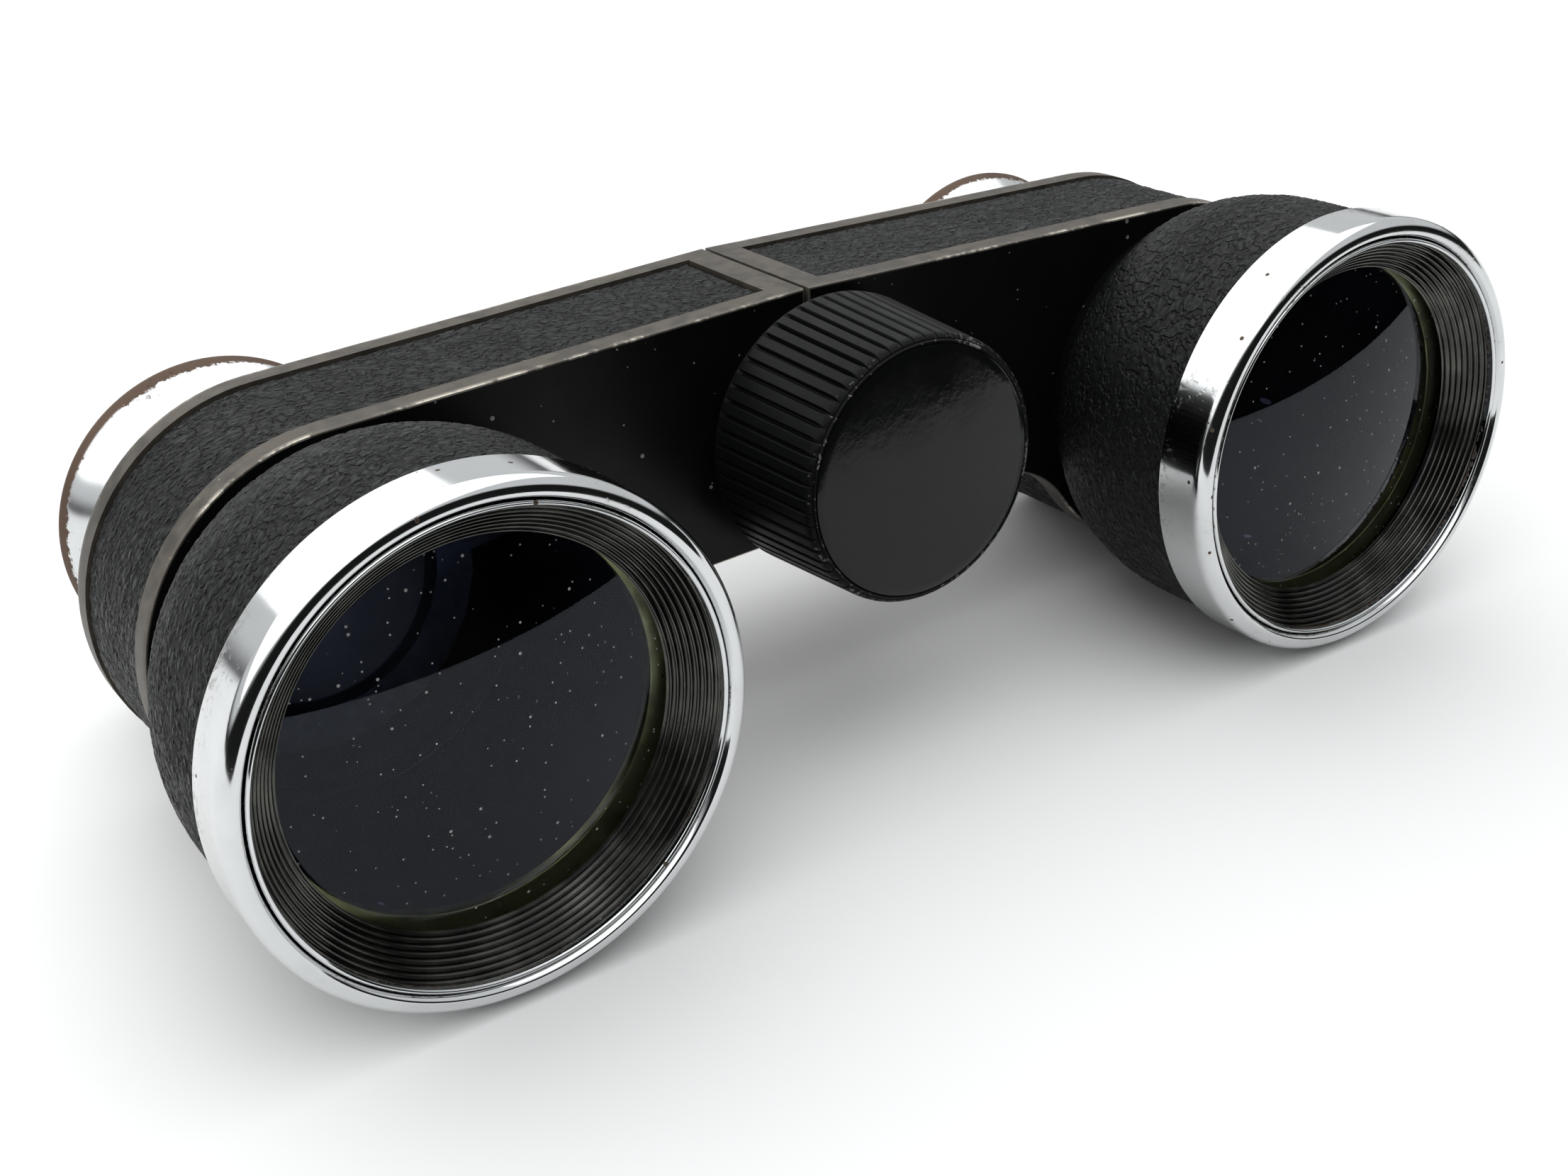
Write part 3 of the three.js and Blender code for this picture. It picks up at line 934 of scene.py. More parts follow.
def ridge_repeat() -> Repeat:
    """A tree that lays round ridges behind each other down a cone about a line along Y.

    Returns:
        The tree, with inputs Count, Start, End, Start Radius, End Radius, Thickness and Finish.
    """
    kinds = {"Count": "Int", "Start": "Vector", "End": "Vector"}
    kinds |= {"Start Radius": "Float", "End Radius": "Float", "Thickness": "Float", "Finish": "Material"}
    made = Repeat("ridges_down_a_cone", kinds)
    given = made.given
    count, start_r = given["Count"], given["Start Radius"]
    inputs = {"Count": count, "Start Location": given["Start"], "Offset": given["End"]}
    line = made.node("GeometryNodeMeshLine", inputs, mode="END_POINTS")
    path = made.node("GeometryNodeCurvePrimitiveCircle", {"Resolution": 144, "Radius": 1.0})
    thin = made.sums("DIVIDE", given["Thickness"], start_r)
    wire = made.node("GeometryNodeCurvePrimitiveCircle", {"Resolution": 8, "Radius": thin})
    inputs = {"Curve": path.outputs[0], "Profile Curve": wire.outputs[0]}
    tube = made.node("GeometryNodeCurveToMesh", inputs)
    share = made.sums("DIVIDE", made.node("GeometryNodeInputIndex").outputs[0], made.minus(count, 1.0))
    radius = made.plus(start_r, made.times(made.minus(given["End Radius"], start_r), share))
    size = made.vector(radius, radius, start_r)
    made.close(line, tube.outputs[0], made.vector(math.pi / 2, 0.0, 0.0), size)
    return made


# --- Sub-assemblies -------------------------------------------------------------------------


def curved(points: Sequence[Point2], steps: int = 5) -> list[Point2]:
    """Draws a smooth line through a few profile points.

    Args:
        points: The points that the line passes.
        steps: Parts between two points.

    Returns:
        The finer points, ends included.
    """
    ends = [points[0], *points, points[-1]]
    finer: list[Point2] = []
    for i in range(1, len(ends) - 2):
        a, b, c, d = (np.array(p, float) for p in ends[i - 1 : i + 3])
        for k in range(steps):
            t = k / steps
            square, cube = 2 * a - 5 * b + 4 * c - d, 3 * b - a - 3 * c + d
            at = 0.5 * (2 * b + (c - a) * t + square * t**2 + cube * t**3)
            finer.append((float(at[0]), float(at[1])))
    return [*finer, points[-1]]


def spaced(corners: Sequence[Point2], density: float, spare: int = 0) -> tuple[np.ndarray, ...]:
    """Points at even distances along a line.

    Args:
        corners: The corners of the line.
        density: Points in each millimetre.
        spare: Points beyond that.

    Returns:
        How far along each point lies, the points, and the unit directions to their left.
    """
    line = np.array(corners)
    run = np.concatenate(([0.0], np.cumsum(np.hypot(*np.diff(line, axis=0).T))))
    places = np.linspace(0, run[-1], int(run[-1] * density) + spare)
    points = np.stack([np.interp(places, run, line[:, k]) for k in (0, 1)], 1)
    tangent = np.gradient(points, axis=0)
    tangent /= np.hypot(*tangent.T)[:, None]
    return places, points, np.stack((-tangent[:, 1], tangent[:, 0]), 1)


def dome(rim_r: float, centre_y: float, rim_y: float, steps: int = 12) -> list[Point2]:
    """Points of a round face from its centre to its rim, as radius and station."""
    sag = rim_y - centre_y
    bow = (rim_r**2 + sag**2) / (2 * abs(sag))
    sign = math.copysign(1.0, sag)
    rs = [rim_r * k / steps for k in range(steps + 1)]
    return [(r, centre_y + sign * (bow - math.sqrt(bow**2 - r**2))) for r in rs]


@dataclass(frozen=True)
class Outline:
    """The outline of one half in its own plane, with the sizes that it is drawn from."""

    axis_u: float = 32.5
    axis_v: float = -3.9
    end_r: float = 12.73
    bottom: float = -7.8
    fillet_r: float = 8.0
    inner_edge: float = 0.15
    end_band: float = 2.1
    bend: float = math.radians(1.75)
    fold_relief: float = math.radians(22.5)

    def path(self, inset: float, arc_steps: int = 64) -> list[Point2]:
        """Points from the top of the inner edge, round the barrel end, to the bottom.

        Args:
            inset: How far inside the full outline.
            arc_steps: Parts in the round end.

        Returns:
            The points in (u, v).
        """
        fillet_v = self.bottom - self.fillet_r
        reach = (self.end_r + self.fillet_r) ** 2 - (self.axis_v - fillet_v) ** 2
        fillet_u = self.axis_u - math.sqrt(reach)
        meeting = math.atan2(fillet_v - self.axis_v, fillet_u - self.axis_u)
        end_r = self.end_r - inset
        points = []
        for k in range(arc_steps + 1):
            a = math.pi / 2 + (meeting - math.pi / 2) * k / arc_steps
            points.append((self.axis_u + end_r * math.cos(a), self.axis_v + end_r * math.sin(a)))
        hollow_r, steps = self.fillet_r + inset, max(4, arc_steps // 5)
        for k in range(1, steps + 1):
            a = meeting + math.pi + (math.pi / 2 - meeting - math.pi) * k / steps
            points.append((fillet_u + hollow_r * math.cos(a), fillet_v + hollow_r * math.sin(a)))
        return points

    def closed(self, inset: float, inner_edge: float) -> list[Point2]:
        """The whole outline, closed by its straight top, bottom and inner edges."""
        top, bottom = self.axis_v + self.end_r - inset, self.bottom + inset
        return [
            (inner_edge - top * math.tan(self.bend), top),
            *self.path(inset),
            (inner_edge - bottom * math.tan(self.fold_relief), bottom),
            (inner_edge, 0.0),
        ]

    def band(self) -> list[Point2]:
        """The solid band beside the inner edge, where the leather stops."""
        top, bottom = self.axis_v + self.end_r - 0.002, self.bottom + 0.002
        lean, relief = math.tan(self.bend), math.tan(self.fold_relief)
        return [
            (self.inner_edge - top * lean, top),
            (self.end_band - top * lean, top),
            (self.end_band, 0.0),
            (self.end_band - bottom * relief, bottom),
            (self.inner_edge - bottom * relief, bottom),
            (self.inner_edge, 0.0),
        ]

    def depth(self, points: np.ndarray) -> np.ndarray:
        """How far each (u, v) point lies from the full outline, in millimetres."""
        corners = np.array(self.closed(0.0, self.inner_edge))
        best = np.full(len(points), 1e9)
        for a, b in zip(corners, np.roll(corners, -1, axis=0)):
            step = b - a
            share = np.clip((points - a) @ step / max(step @ step, 1e-12), 0, 1)
            best = np.minimum(best, np.hypot(*(points - a - share[:, None] * step).T))
        return best


@dataclass
class OneSide:
    """A sub-assembly of one side, with what it needs to make and dress its pieces."""

    side: Side
    layout: Layout
    palette: Palette
    segments: ClassVar[int] = 144

    def turn(self, name: str, profile: Profile, segments: int = 0) -> bpy.types.Object:
        """Turns a profile on this side's barrel axis."""
        centre = self.layout.barrel(self.side)
        return revolve(self.side.node(name), profile, self.layout, centre, segments or self.segments)

    def mark(self, obj: bpy.types.Object, name: str, test: Callable[[float, float], bool]) -> None:
        """Marks the points of a turned piece that pass a test.

        Args:
            obj: The piece.
            name: The mark.
            test: Says yes or no for a radius and a station.
        """
        x, z = self.layout.barrel(self.side)
        values = []
        for vert in obj.data.vertices:
            radius = math.hypot(vert.co.x - x, vert.co.z - z) / MM
            values.append(float(test(radius, (vert.co.y - self.layout.front) / MM)))
        keep_marks(obj.data, **{name: values})

    def put(
        self,
        obj: bpy.types.Object,
        material: bpy.types.Material,
        slot: str,
        node: str,
        body: str = "half",
    ) -> bpy.types.Object:
        """Dresses a piece as one of this side's nodes, on one of its bodies."""
        return dress(obj, material, slot, self.side.node(body), self.side.node(node))


@dataclass
class Housing(OneSide):
    """One bar-shaped half: its shell with front plate, its back plate and its leather strip."""

    outline: Outline = Outline()
    front: tuple[float, float] = (18.1, 19.8)
    back: tuple[float, float] = (28.8, 30.4)
    recess: float = 0.9
    wall: float = 1.4
    lug_r: float = 5.6
    lug_clearance: float = 5.9
    well_r: float = 6.2
    bore_r: float = 3.08
    light_hole: float = 11.25
    bush_hole: float = 8.9
    bevel: float = 0.17
    front_lug: tuple[Point2, Point2] = ((18.1, 18.9), (19.0, 19.8))
    rear_lug: tuple[Point2, Point2] = ((28.8, 29.55), (29.65, 30.4))

    def slab(self, name: str, plate: Point2, seen_front: bool) -> bpy.types.Object:
        """A full plate whose outer edge is eased on its seen face.

        Args:
            name: The object's name.
            plate: Its front and back stations.
            seen_front: Whether the seen face is the front one.

        Returns:
            The plate.
        """
        b = self.bevel
        easing = [(b, 0.0), (0.3 * b, 0.3 * b), (0.0, b), (0.0, 2.6 * b)]
        start, end = plate
        if seen_front:
            layers = [(inset, start + step) for inset, step in easing] + [(0.0, end)]
        else:
            layers = [(0.0, start)] + [(inset, end - step) for inset, step in reversed(easing)]
        edge = self.outline.inner_edge
        return stack(
            name,
            [(self.outline.closed(inset, edge + inset), at) for inset, at in layers],
            self.layout,
            self.side,
        )

    def prism(self, outline: Sequence[Point2], start: float, end: float) -> bpy.types.Object:
        """A plain prism of an outline between two stations, to join or cut with."""
        return stack("prism", [(outline, start), (outline, end)], self.layout, self.side)

    def knuckle(self, obj: bpy.types.Object, lugs: tuple[Point2, Point2]) -> None:
        """Makes room for the other half's knuckle and adds this half's own, bored.

        Args:
            obj: The plate.
            lugs: Stations of the left and of the right knuckle.
        """
        own, other = (lugs[0], lugs[1]) if self.side is Side.LEFT else (lugs[1], lugs[0])
        room = (own[1], other[1] + 0.1) if self.side is Side.LEFT else (other[0] - 0.1, own[0])
        hinge = self.layout.hinge
        combine(obj, rod(self.layout, hinge, self.lug_clearance, *room), Cut.AWAY)
        combine(obj, rod(self.layout, hinge, self.lug_r, *own), Cut.JOIN)
        combine(obj, rod(self.layout, hinge, self.bore_r, own[0] - 1, own[1] + 1), Cut.AWAY)

    def wear(self, obj: bpy.types.Object, plate: Point2, seen_front: bool) -> None:
        """Marks the rims, and the eased edge beside the seen face.

        Args:
            obj: The piece.
            plate: Stations of its rimmed plate.
            seen_front: Whether the seen face is the front one.
        """
        mesh = obj.data
        co = np.zeros(len(mesh.vertices) * 3, np.float32)
        mesh.vertices.foreach_get("co", co)
        x, y, z = co.reshape(-1, 3).T / MM
        z = z - self.layout.pivot_z / MM
        x = x * self.side.value
        cos, sin = math.cos(self.outline.bend), math.sin(self.outline.bend)
        depth = self.outline.depth(np.stack((cos * x - sin * z, sin * x + cos * z), 1))
        station = y - self.layout.front / MM
        rim = np.clip(1 - depth / (0.8 * self.bevel), 0, 1)
        seen = plate[0] if seen_front else plate[1]
        edge = np.clip(1 - np.abs(np.abs(station - seen) - 0.3 * self.bevel) / (1.2 * self.bevel), 0, 1)
        edge = edge * (depth < 0.8 * self.bevel)
        deep = depth > self.recess + self.wall - 0.1
        inside = deep & (station > self.front[0] + 0.1) & (station < self.back[1] - 0.1)
        keep_marks(mesh, rim=rim.astype("f"), edge=edge.astype("f"), inside=inside.astype("f"))

    def shell(self) -> bpy.types.Object:
        """The front plate, walls and end band in one piece, hollow behind."""
        start, inner = self.front
        back = self.back[0]
        side, outline = self.side, self.outline
        obj = self.slab(side.node("housing_shell"), self.front, True)
        core = outline.closed(self.recess, outline.inner_edge + 0.4)
        cavity = outline.closed(self.recess + self.wall, outline.end_band + 0.2)
        combine(obj, self.prism(core, inner - 0.2, back - 0.02), Cut.JOIN)
        combine(obj, self.prism(outline.band(), inner - 0.1, back - 0.02), Cut.JOIN)
        combine(obj, self.prism(cavity, inner, back + 1), Cut.AWAY)
        combine(obj, rod(self.layout, self.layout.hinge, self.well_r, inner, back + 1), Cut.AWAY)
        centre = self.layout.barrel(side)
        combine(obj, rod(self.layout, centre, self.light_hole, start - 1, inner + 1), Cut.AWAY)
        self.knuckle(obj, self.front_lug)
        self.wear(obj, self.front, True)
        return self.put(smooth(obj), self.palette.enamel, "black_enamel", "housing")

    def back_cover(self) -> bpy.types.Object:
        """The flat plate that closes the back."""
        start, end = self.back
        side = self.side
        obj = self.slab(side.node("back_cover"), self.back, False)
        centre = self.layout.barrel(side)
        combine(obj, rod(self.layout, centre, self.bush_hole, start - 1, end + 1), Cut.AWAY)
        self.knuckle(obj, self.rear_lug)
        self.wear(obj, self.back, False)
        return self.put(smooth(obj), self.palette.enamel, "black_enamel", "back_plate")

    def strip_path(self, inset: float, pitch: float) -> tuple[np.ndarray, np.ndarray]:
        """Even points along the strip's outer face, and their outward directions.

        Args:
            inset: How far the face lies inside the full outline.
            pitch: Distance between points.

        Returns:
            Points and unit directions, both in (u, v).
        """
        outline = self.outline
        top, bottom = outline.axis_v + outline.end_r - inset, outline.bottom + inset
        start = (outline.end_band + 0.2 - top * math.tan(outline.bend), top)
        end = (outline.end_band + 0.2 - bottom * math.tan(outline.fold_relief), bottom)
        _, points, outward = spaced([start, *outline.path(inset, 240), end], 1 / pitch, 1)
        return points, outward

    def strip(self, inset: float = 0.12, relief: float = 0.12, pitch: float = 0.16) -> bpy.types.Object:
        """The leather strip let into the rim, with its pressed grain as real relief."""
        points, outward = self.strip_path(inset, pitch)
        start, end = self.front[1] + 0.05, self.back[0] - 0.1
        thick = self.recess - 0.05 - inset
        across = np.linspace(0, end - start, 74)
        rows: list[list[Vector]] = []
        heights: list[float] = []
        length = len(points) * pitch
        for i, (point, out) in enumerate(zip(points, outward)):
            along = i * pitch
            rows.append([])
            for w in across:
                border = min(w, end - start - w, along * 1.2, (length - along) * 1.2)
                level = pebble(along, float(w), STRIP_SEED + self.side.value)
                drop = relief * (1 - level) + 0.2 * max(0.0, 1 - border / 0.22) ** 2
                rows[-1].append(self.layout.half_point(self.side, *(point - out * drop), start + w))
                heights.append(level)
            for w in (end - start - 0.02, 0.02):
                rows[-1].append(self.layout.half_point(self.side, *(point - out * thick), start + w))
                heights.append(0.0)
        obj = grained(self.side.node("grained_strip"), rows, heights, False)
        return self.put(obj, self.palette.leatherette, "leatherette", "leather_strip")

    def build(self) -> list[bpy.types.Object]:
        """Makes and dresses every piece of the half's housing."""
        return [self.shell(), self.back_cover(), self.strip()]


@dataclass
class Barrel(OneSide):
    """One objective barrel: rings, baffle, lens, tube and leather wrap."""

    ridge_tree: Repeat
    ring_r: float = 15.1
    ring_length: float = 3.9
    tube_r: float = 14.0
    wrap_thickness: float = 0.7
    neck_r: float = 11.6
    lens_r: float = 12.6
    ridges: int = 8
    ridge_r: float = 0.105
    baffle_front: Point2 = (13.45, 0.7)
    baffle_back: Point2 = (11.4, 2.5)
    shoulder: tuple[Point2, ...] = ((14.0, 9.5), (13.85, 11.5), (13.4, 13.5), (12.75, 15.2), (11.9, 16.5))

    def rings(self) -> list[bpy.types.Object]:
        """The wide chromed ring and the thin one inside it."""
        r, length = self.ring_r, self.ring_length
        corners = [
            (13.87, 0.34, 0.12, 0.25),
            (14.12, 0.0, 0.12, 0.1),
            (14.62, 0.0, 0.3, 0.05),
            (r, 0.5, 0.45, 0.02),
            (r, length, 0.1, 0.3),
            (14.05, length, 0.05, 0.3),
            (14.05, 2.98),
            (13.87, 2.98),
        ]
        trim = [
            (13.5, 0.24, 0.05, 0.2),
            (13.65, 0.1, 0.12, 0.12),
            (13.8, 0.24, 0.06, 0.4),
            (13.8, 0.65, 0.0, 0.8),
            (13.5, 0.65, 0.0, 0.8),
        ]
        outer = self.turn("bright_ring", eased(corners, 6), 192)
        inner = self.turn("thin_ring", eased(trim, 4), 192)
        chrome = self.palette.chrome
        return [
            self.put(smooth(outer), chrome, "chrome", "objective_ring"),
            self.put(smooth(inner), chrome, "chrome", "trim_ring"),
        ]

    def baffle(self) -> bpy.types.Object:
        """The cone in front of the lens, with its ridges laid down it."""
        (front_r, front_y), (back_r, back_y) = self.baffle_front, self.baffle_back
        sunk = 0.24
        profile = [
            (13.72, front_y),
            (13.72, back_y + 0.4),
            (back_r, back_y + 0.4),
            (back_r + sunk, back_y + sunk),
            (front_r + sunk, front_y + sunk),
            (front_r + 0.12, front_y),
        ]
        obj = self.turn("ridged_cone", profile)
        x, z = self.layout.barrel(self.side)
        inward = self.ridge_r * 0.8
        values = {
            "Count": self.ridges,
            "Start": (x, self.layout.station(front_y + inward), z),
            "End": (x, self.layout.station(back_y + inward), z),
            "Start Radius": (front_r + inward) * MM,
            "End Radius": (back_r + inward) * MM,
            "Thickness": self.ridge_r * MM,
            "Finish": self.palette.baffle,
        }
        self.ridge_tree.use(obj, values)
        return self.put(smooth(obj), self.palette.baffle, "baffle_black", "ridged_baffle")

    def lens(self) -> list[bpy.types.Object]:
        """The coated objective lens and the ring that it sits against."""
        front = dome(self.lens_r - 0.05, 1.95, 3.32)
        back = dome(self.lens_r, 5.6, 5.0)
        obj = self.turn("objective_glass", [*front, (self.lens_r, 3.42), *reversed(back)])
        self.mark(obj, "coated", lambda r, y: y < 3.4)
        seat = eased([(11.2, 5.45, 0.1), (12.6, 5.15), (12.6, 6.4), (11.2, 6.4, 0.1)])
        ring = self.turn("seat_ring", seat)
        return [
            self.put(smooth(obj), self.palette.coated, "coated_glass", "objective_lens"),
            self.put(smooth(ring), self.palette.olive, "brass", "lens_seat_ring"),
        ]

    def tube(self) -> bpy.types.Object:
        """The black barrel tube, its neck and the spigot in the housing."""
        shoulder = curved(self.shoulder, 5)
        neck = [(self.neck_r, 16.75), (self.neck_r, 18.1), (11.2, 18.1), (11.2, 19.8)]
        inside = [(10.6, 19.8), (10.6, 15.0), (12.2, 6.5), (12.9, 6.5), (12.9, 3.0)]
        obj = self.turn("black_barrel", [(self.tube_r, 3.0), *shoulder, *neck, *inside])
        self.mark(obj, "inside", lambda r, y: r < 11.3 or (y < 9 and r + 0.5 < self.tube_r))
        return self.put(smooth(obj), self.palette.enamel, "black_enamel", "barrel_tube")

    def wrap(self, relief: float = 0.12, pitch: float = 0.16, rows: int = 600) -> bpy.types.Object:
        """The leather round the barrel, with its grain as real relief and its seam below."""
        gap, front = 0.06, self.ring_length + 0.05
        full_r = self.tube_r + self.wrap_thickness
        outer = [(r + self.wrap_thickness, y + 0.1) for r, y in self.shoulder]
        places, section, inward = spaced([(full_r, front), *curved(outer, 8)], 1.25 / pitch)
        run = places[-1]
        inner = [(r + gap, y) for r, y in reversed(self.shoulder)] + [(self.tube_r + gap, front)]
        x, z = self.layout.barrel(self.side)
        grid: list[list[Vector]] = []
        heights: list[float] = []
        for i in range(rows):
            turn = 2 * math.pi * i / rows
            around = turn * full_r
            row = []
            for place, point, into in zip(places, section, inward):
                border = min(place * 1.6, run - place, around, 2 * math.pi * full_r - around)
                level = pebble(around, float(place), WRAP_SEED + self.side.value)
                drop = relief * (1 - level) + 0.2 * max(0.0, 1 - border / 0.35) ** 2
                row.append(tuple(point + into * drop))
                heights.append(level)
            row += inner
            heights += [0.0] * len(inner)
            sin, cos = -math.sin(turn) * MM, -math.cos(turn) * MM
            grid.append([Vector((x + r * sin, self.layout.station(y), z + r * cos)) for r, y in row])
        obj = grained(self.side.node("grained_wrap"), grid, heights, True)
        return self.put(obj, self.palette.leatherette, "leatherette", "barrel_wrap")

    def build(self) -> list[bpy.types.Object]:
        """Makes and dresses every piece of the barrel."""
        return [*self.rings(), self.baffle(), *self.lens(), self.tube(), self.wrap()]


@dataclass
class Eyepiece(OneSide):
    """One sliding eyepiece with its flared cup, and the bush in the back that guides it."""

    segments: ClassVar[int] = 128
    tube_r: float = 7.2
    bore_r: float = 6.6
    tube: Point2 = (21.9, 38.4)
    black_end: float = 28.0

    def guide(self) -> bpy.types.Object:
        """The black guide bush, fixed in the back plate."""
        corners = [
            (7.3, 28.3),
            (8.85, 28.3),
            (8.85, 30.45),
            (9.45, 30.45, 0.05),
            (9.45, 31.0, 0.12),
            (9.15, 31.2, 0.1),
            (7.3, 31.2, 0.12),
        ]
        obj = smooth(self.turn("guide_collar", eased(corners)))
        return self.put(obj, self.palette.enamel, "black_enamel", "guide_bush")

    def cup(self) -> bpy.types.Object:
        """The flared chromed cup, its rim worn brown."""
        flare = curved(((8.3, 34.2), (8.75, 36.2), (9.6, 38.4), (10.45, 40.1), (10.75, 40.85)), 5)
        mouth = curved(((10.2, 41.22), (9.3, 39.95), (8.1, 38.95), (7.25, 38.6)), 5)
        profile = [(7.25, 33.3, 0.0), (7.85, 33.3, 0.25), (7.95, 33.4, 0.1)]
        profile += [(r, y, min(1.4, max(0.0, (y - 39.8) * 2.2))) for r, y in flare]
        profile += [(10.72, 41.1, 1.3), (10.6, 41.28, 1.3), (10.4, 41.3, 1.2)]
        profile += [(r, y, max(0.0, (y - 40.3) * 0.6)) for r, y in mouth]
        obj = smooth(self.turn("flared_cup", profile))
        return self.put(obj, self.palette.cup_chrome, "chrome", "eyecup", "eyepiece")

    def sliding_tube(self) -> bpy.types.Object:
        """The bright tube that slides in the bush."""
        start, end = self.tube
        corners = [
            (self.bore_r, start, 0.1),
            (self.tube_r, start, 0.15, 0.1),
            (self.tube_r, self.black_end),
            (self.tube_r, end, 0.15, 0.1),
            (self.bore_r, end, 0.1, 0.1),
        ]
        obj = smooth(self.turn("sliding_tube", eased(corners)))
        self.mark(obj, "blackened", lambda r, y: r < self.tube_r - 0.2 or y < self.black_end + 0.1)
        return self.put(obj, self.palette.chrome, "chrome", "eyepiece_tube", "eyepiece")

    def glass(self) -> list[bpy.types.Object]:
        """The hollow-ground eye lens and its black retainer."""
        front = dome(6.5, 35.65, 34.55)
        back = dome(6.5, 36.4, 36.75)
        lens = self.turn("eye_glass", [*front, *reversed(back)])
        self.mark(lens, "coated", lambda r, y: y > 36.2)
        corners = [(5.6, 36.95, 0.05), (6.5, 36.85), (6.5, 37.6, 0.1), (5.9, 37.6, 0.1)]
        ring = smooth(self.turn("glass_retainer", eased(corners)))
        return [
            self.put(smooth(lens), self.palette.clear, "clear_glass", "eye_lens", "eyepiece"),
            self.put(ring, self.palette.enamel, "black_enamel", "eye_lens_retainer", "eyepiece"),
        ]

    def build(self) -> list[bpy.types.Object]:
        """Makes and dresses every piece of the eyepiece."""
        return [self.guide(), self.sliding_tube(), self.cup(), *self.glass()]


@dataclass
class FocusGear:
    """The fluted knob on the hinge axis, with its face, screws and bushes."""

    layout: Layout
    palette: Palette
    rib_tree: Repeat
    front_r: float = 8.55
    back_r: float = 9.07
    face_r: float = 8.2
    front: float = 6.3
    back: float = 16.0
    ribs: int = 60
    depth: float = 0.3

    def turn(self, name: str, profile: Profile, segments: int = 132) -> bpy.types.Object:
        """Turns a profile on the hinge axis."""
        return revolve(name, profile, self.layout, self.layout.hinge, segments)

    def crest(self, station: float) -> float:
        """Radius over the ribs at a station."""
        share = (station - self.front) / (self.back - self.front)
        return self.front_r + (self.back_r - self.front_r) * share

    def rib(self) -> bpy.types.Object:
        """One rib at the top of the knob, with its axis through the origin."""
        pitch = math.pi / self.ribs
        stations = [
            (self.front + 0.16, 0.25, 0.92, 0.5),
            (self.front + 0.28, 0.68, 0.9, 0.55),
            (self.front + 0.45, 0.93, 0.84, 0.4),
            (self.front + 0.7, 1.0, 0.74, 0.2),
            (self.front + 1.1, 1.0, 0.68, 0.1),
            (self.back - 0.5, 1.0, 0.68, 0.08),
            (self.back - 0.22, 0.8, 0.74, 0.2),
        ]
        rows: list[list[tuple[float, float, float]]] = []
        wears: list[float] = []
        for station, share, top, worn in stations:
            root = self.crest(station) - self.depth
            rise = self.depth * share
            section = [
                (-0.97, -0.12, 0.0),
                (-0.95, 0.0, 0.0),
                (-top - 0.03, rise * 0.86, 0.6),
                (-top + 0.07, rise, 1.0),
                (0.0, rise, 0.7),
                (top - 0.07, rise, 1.0),
                (top + 0.03, rise * 0.86, 0.6),
                (0.95, 0.0, 0.0),
                (0.97, -0.12, 0.0),
            ]
            rows.append([])
            for turn, lift, share_worn in section:
                r, a = (root + lift) * MM, turn * pitch
                rows[-1].append((r * math.sin(a), self.layout.station(station), r * math.cos(a)))
                wears.append(worn * share_worn)
        return loft("rib", rows, merged=True, wear=wears)

    def knob(self) -> bpy.types.Object:
        """The drum of the knob with its ring of ribs."""
        root = self.front_r - self.depth
        profile = [
            (self.face_r - 0.17, self.front + 0.95, 0.0),
            (self.face_r - 0.17, self.front + 0.06, 0.3),
            (self.face_r - 0.1, self.front, 0.45),
            (self.face_r - 0.02, self.front + 0.02, 0.5),
            (root, self.front + 0.14, 0.4),
            (root + 0.01, self.front + 0.4, 0.1),
            (root + 0.03, self.front + 1.1, 0.0),
            (self.crest(self.back - 0.6) - self.depth, self.back - 0.6, 0.0),
            (self.back_r - 0.14, self.back - 0.36, 0.1),
            (self.back_r - 0.06, self.back - 0.2, 0.25),
            (self.back_r - 0.12, self.back - 0.06, 0.2),
            (self.back_r - 0.24, self.back, 0.1),
            (2.05, self.back, 0.0),
            (2.05, 9.3, 0.0),
            (3.4, 9.3, 0.0),
            (3.4, self.front + 0.95, 0.0),
        ]
        obj = self.turn("fluted_knob", profile)
        rib = self.rib()
        values = {
            "Shape": rib,
            "Count": self.ribs,
            "Centre": (0.0, 0.0, self.layout.pivot_z),
            "Finish": self.palette.fluted,
        }
        self.rib_tree.use(obj, values)
        bpy.data.objects.remove(rib)
        return dress(smooth(obj), self.palette.fluted, "knob_black", "focus_wheel", "focus_knob")

    def face(self) -> bpy.types.Object:
        """The slightly domed face let into the front of the knob."""
        r = self.face_r - 0.2
        domed = dome(r - 0.12, 5.9, 6.26, 16)
        profile = [*domed, (r - 0.03, 6.31), (r, 6.4), (r, self.front + 0.94), (0.0, self.front + 0.94)]
        obj = self.turn("domed_face", profile)
        return dress(smooth(obj), self.palette.face, "knob_black", "focus_wheel", "knob_face_cap")

    def end_screw(self) -> bpy.types.Object:
        """The slotted screw on the back end of the spindle."""
        head = eased([(3.5, 31.4, 0.1), (3.5, 32.4, 0.25)])
        corners = [(0, 29.3), (1.15, 29.3), (1.15, 31.4), *head, (0, 32.4)]
        obj = self.turn("slotted_end_screw", corners, 96)
        slot = [(-0.35, -5.0), (0.35, -5.0), (0.35, 5.0), (-0.35, 5.0)]
        cutter = stack("slot", [(slot, 31.95), (slot, 33.0)], self.layout, Side.RIGHT)
        combine(obj, cutter, Cut.AWAY)
        return dress(smooth(obj), self.palette.steel, "steel", "focus_wheel", "spindle_end_screw")

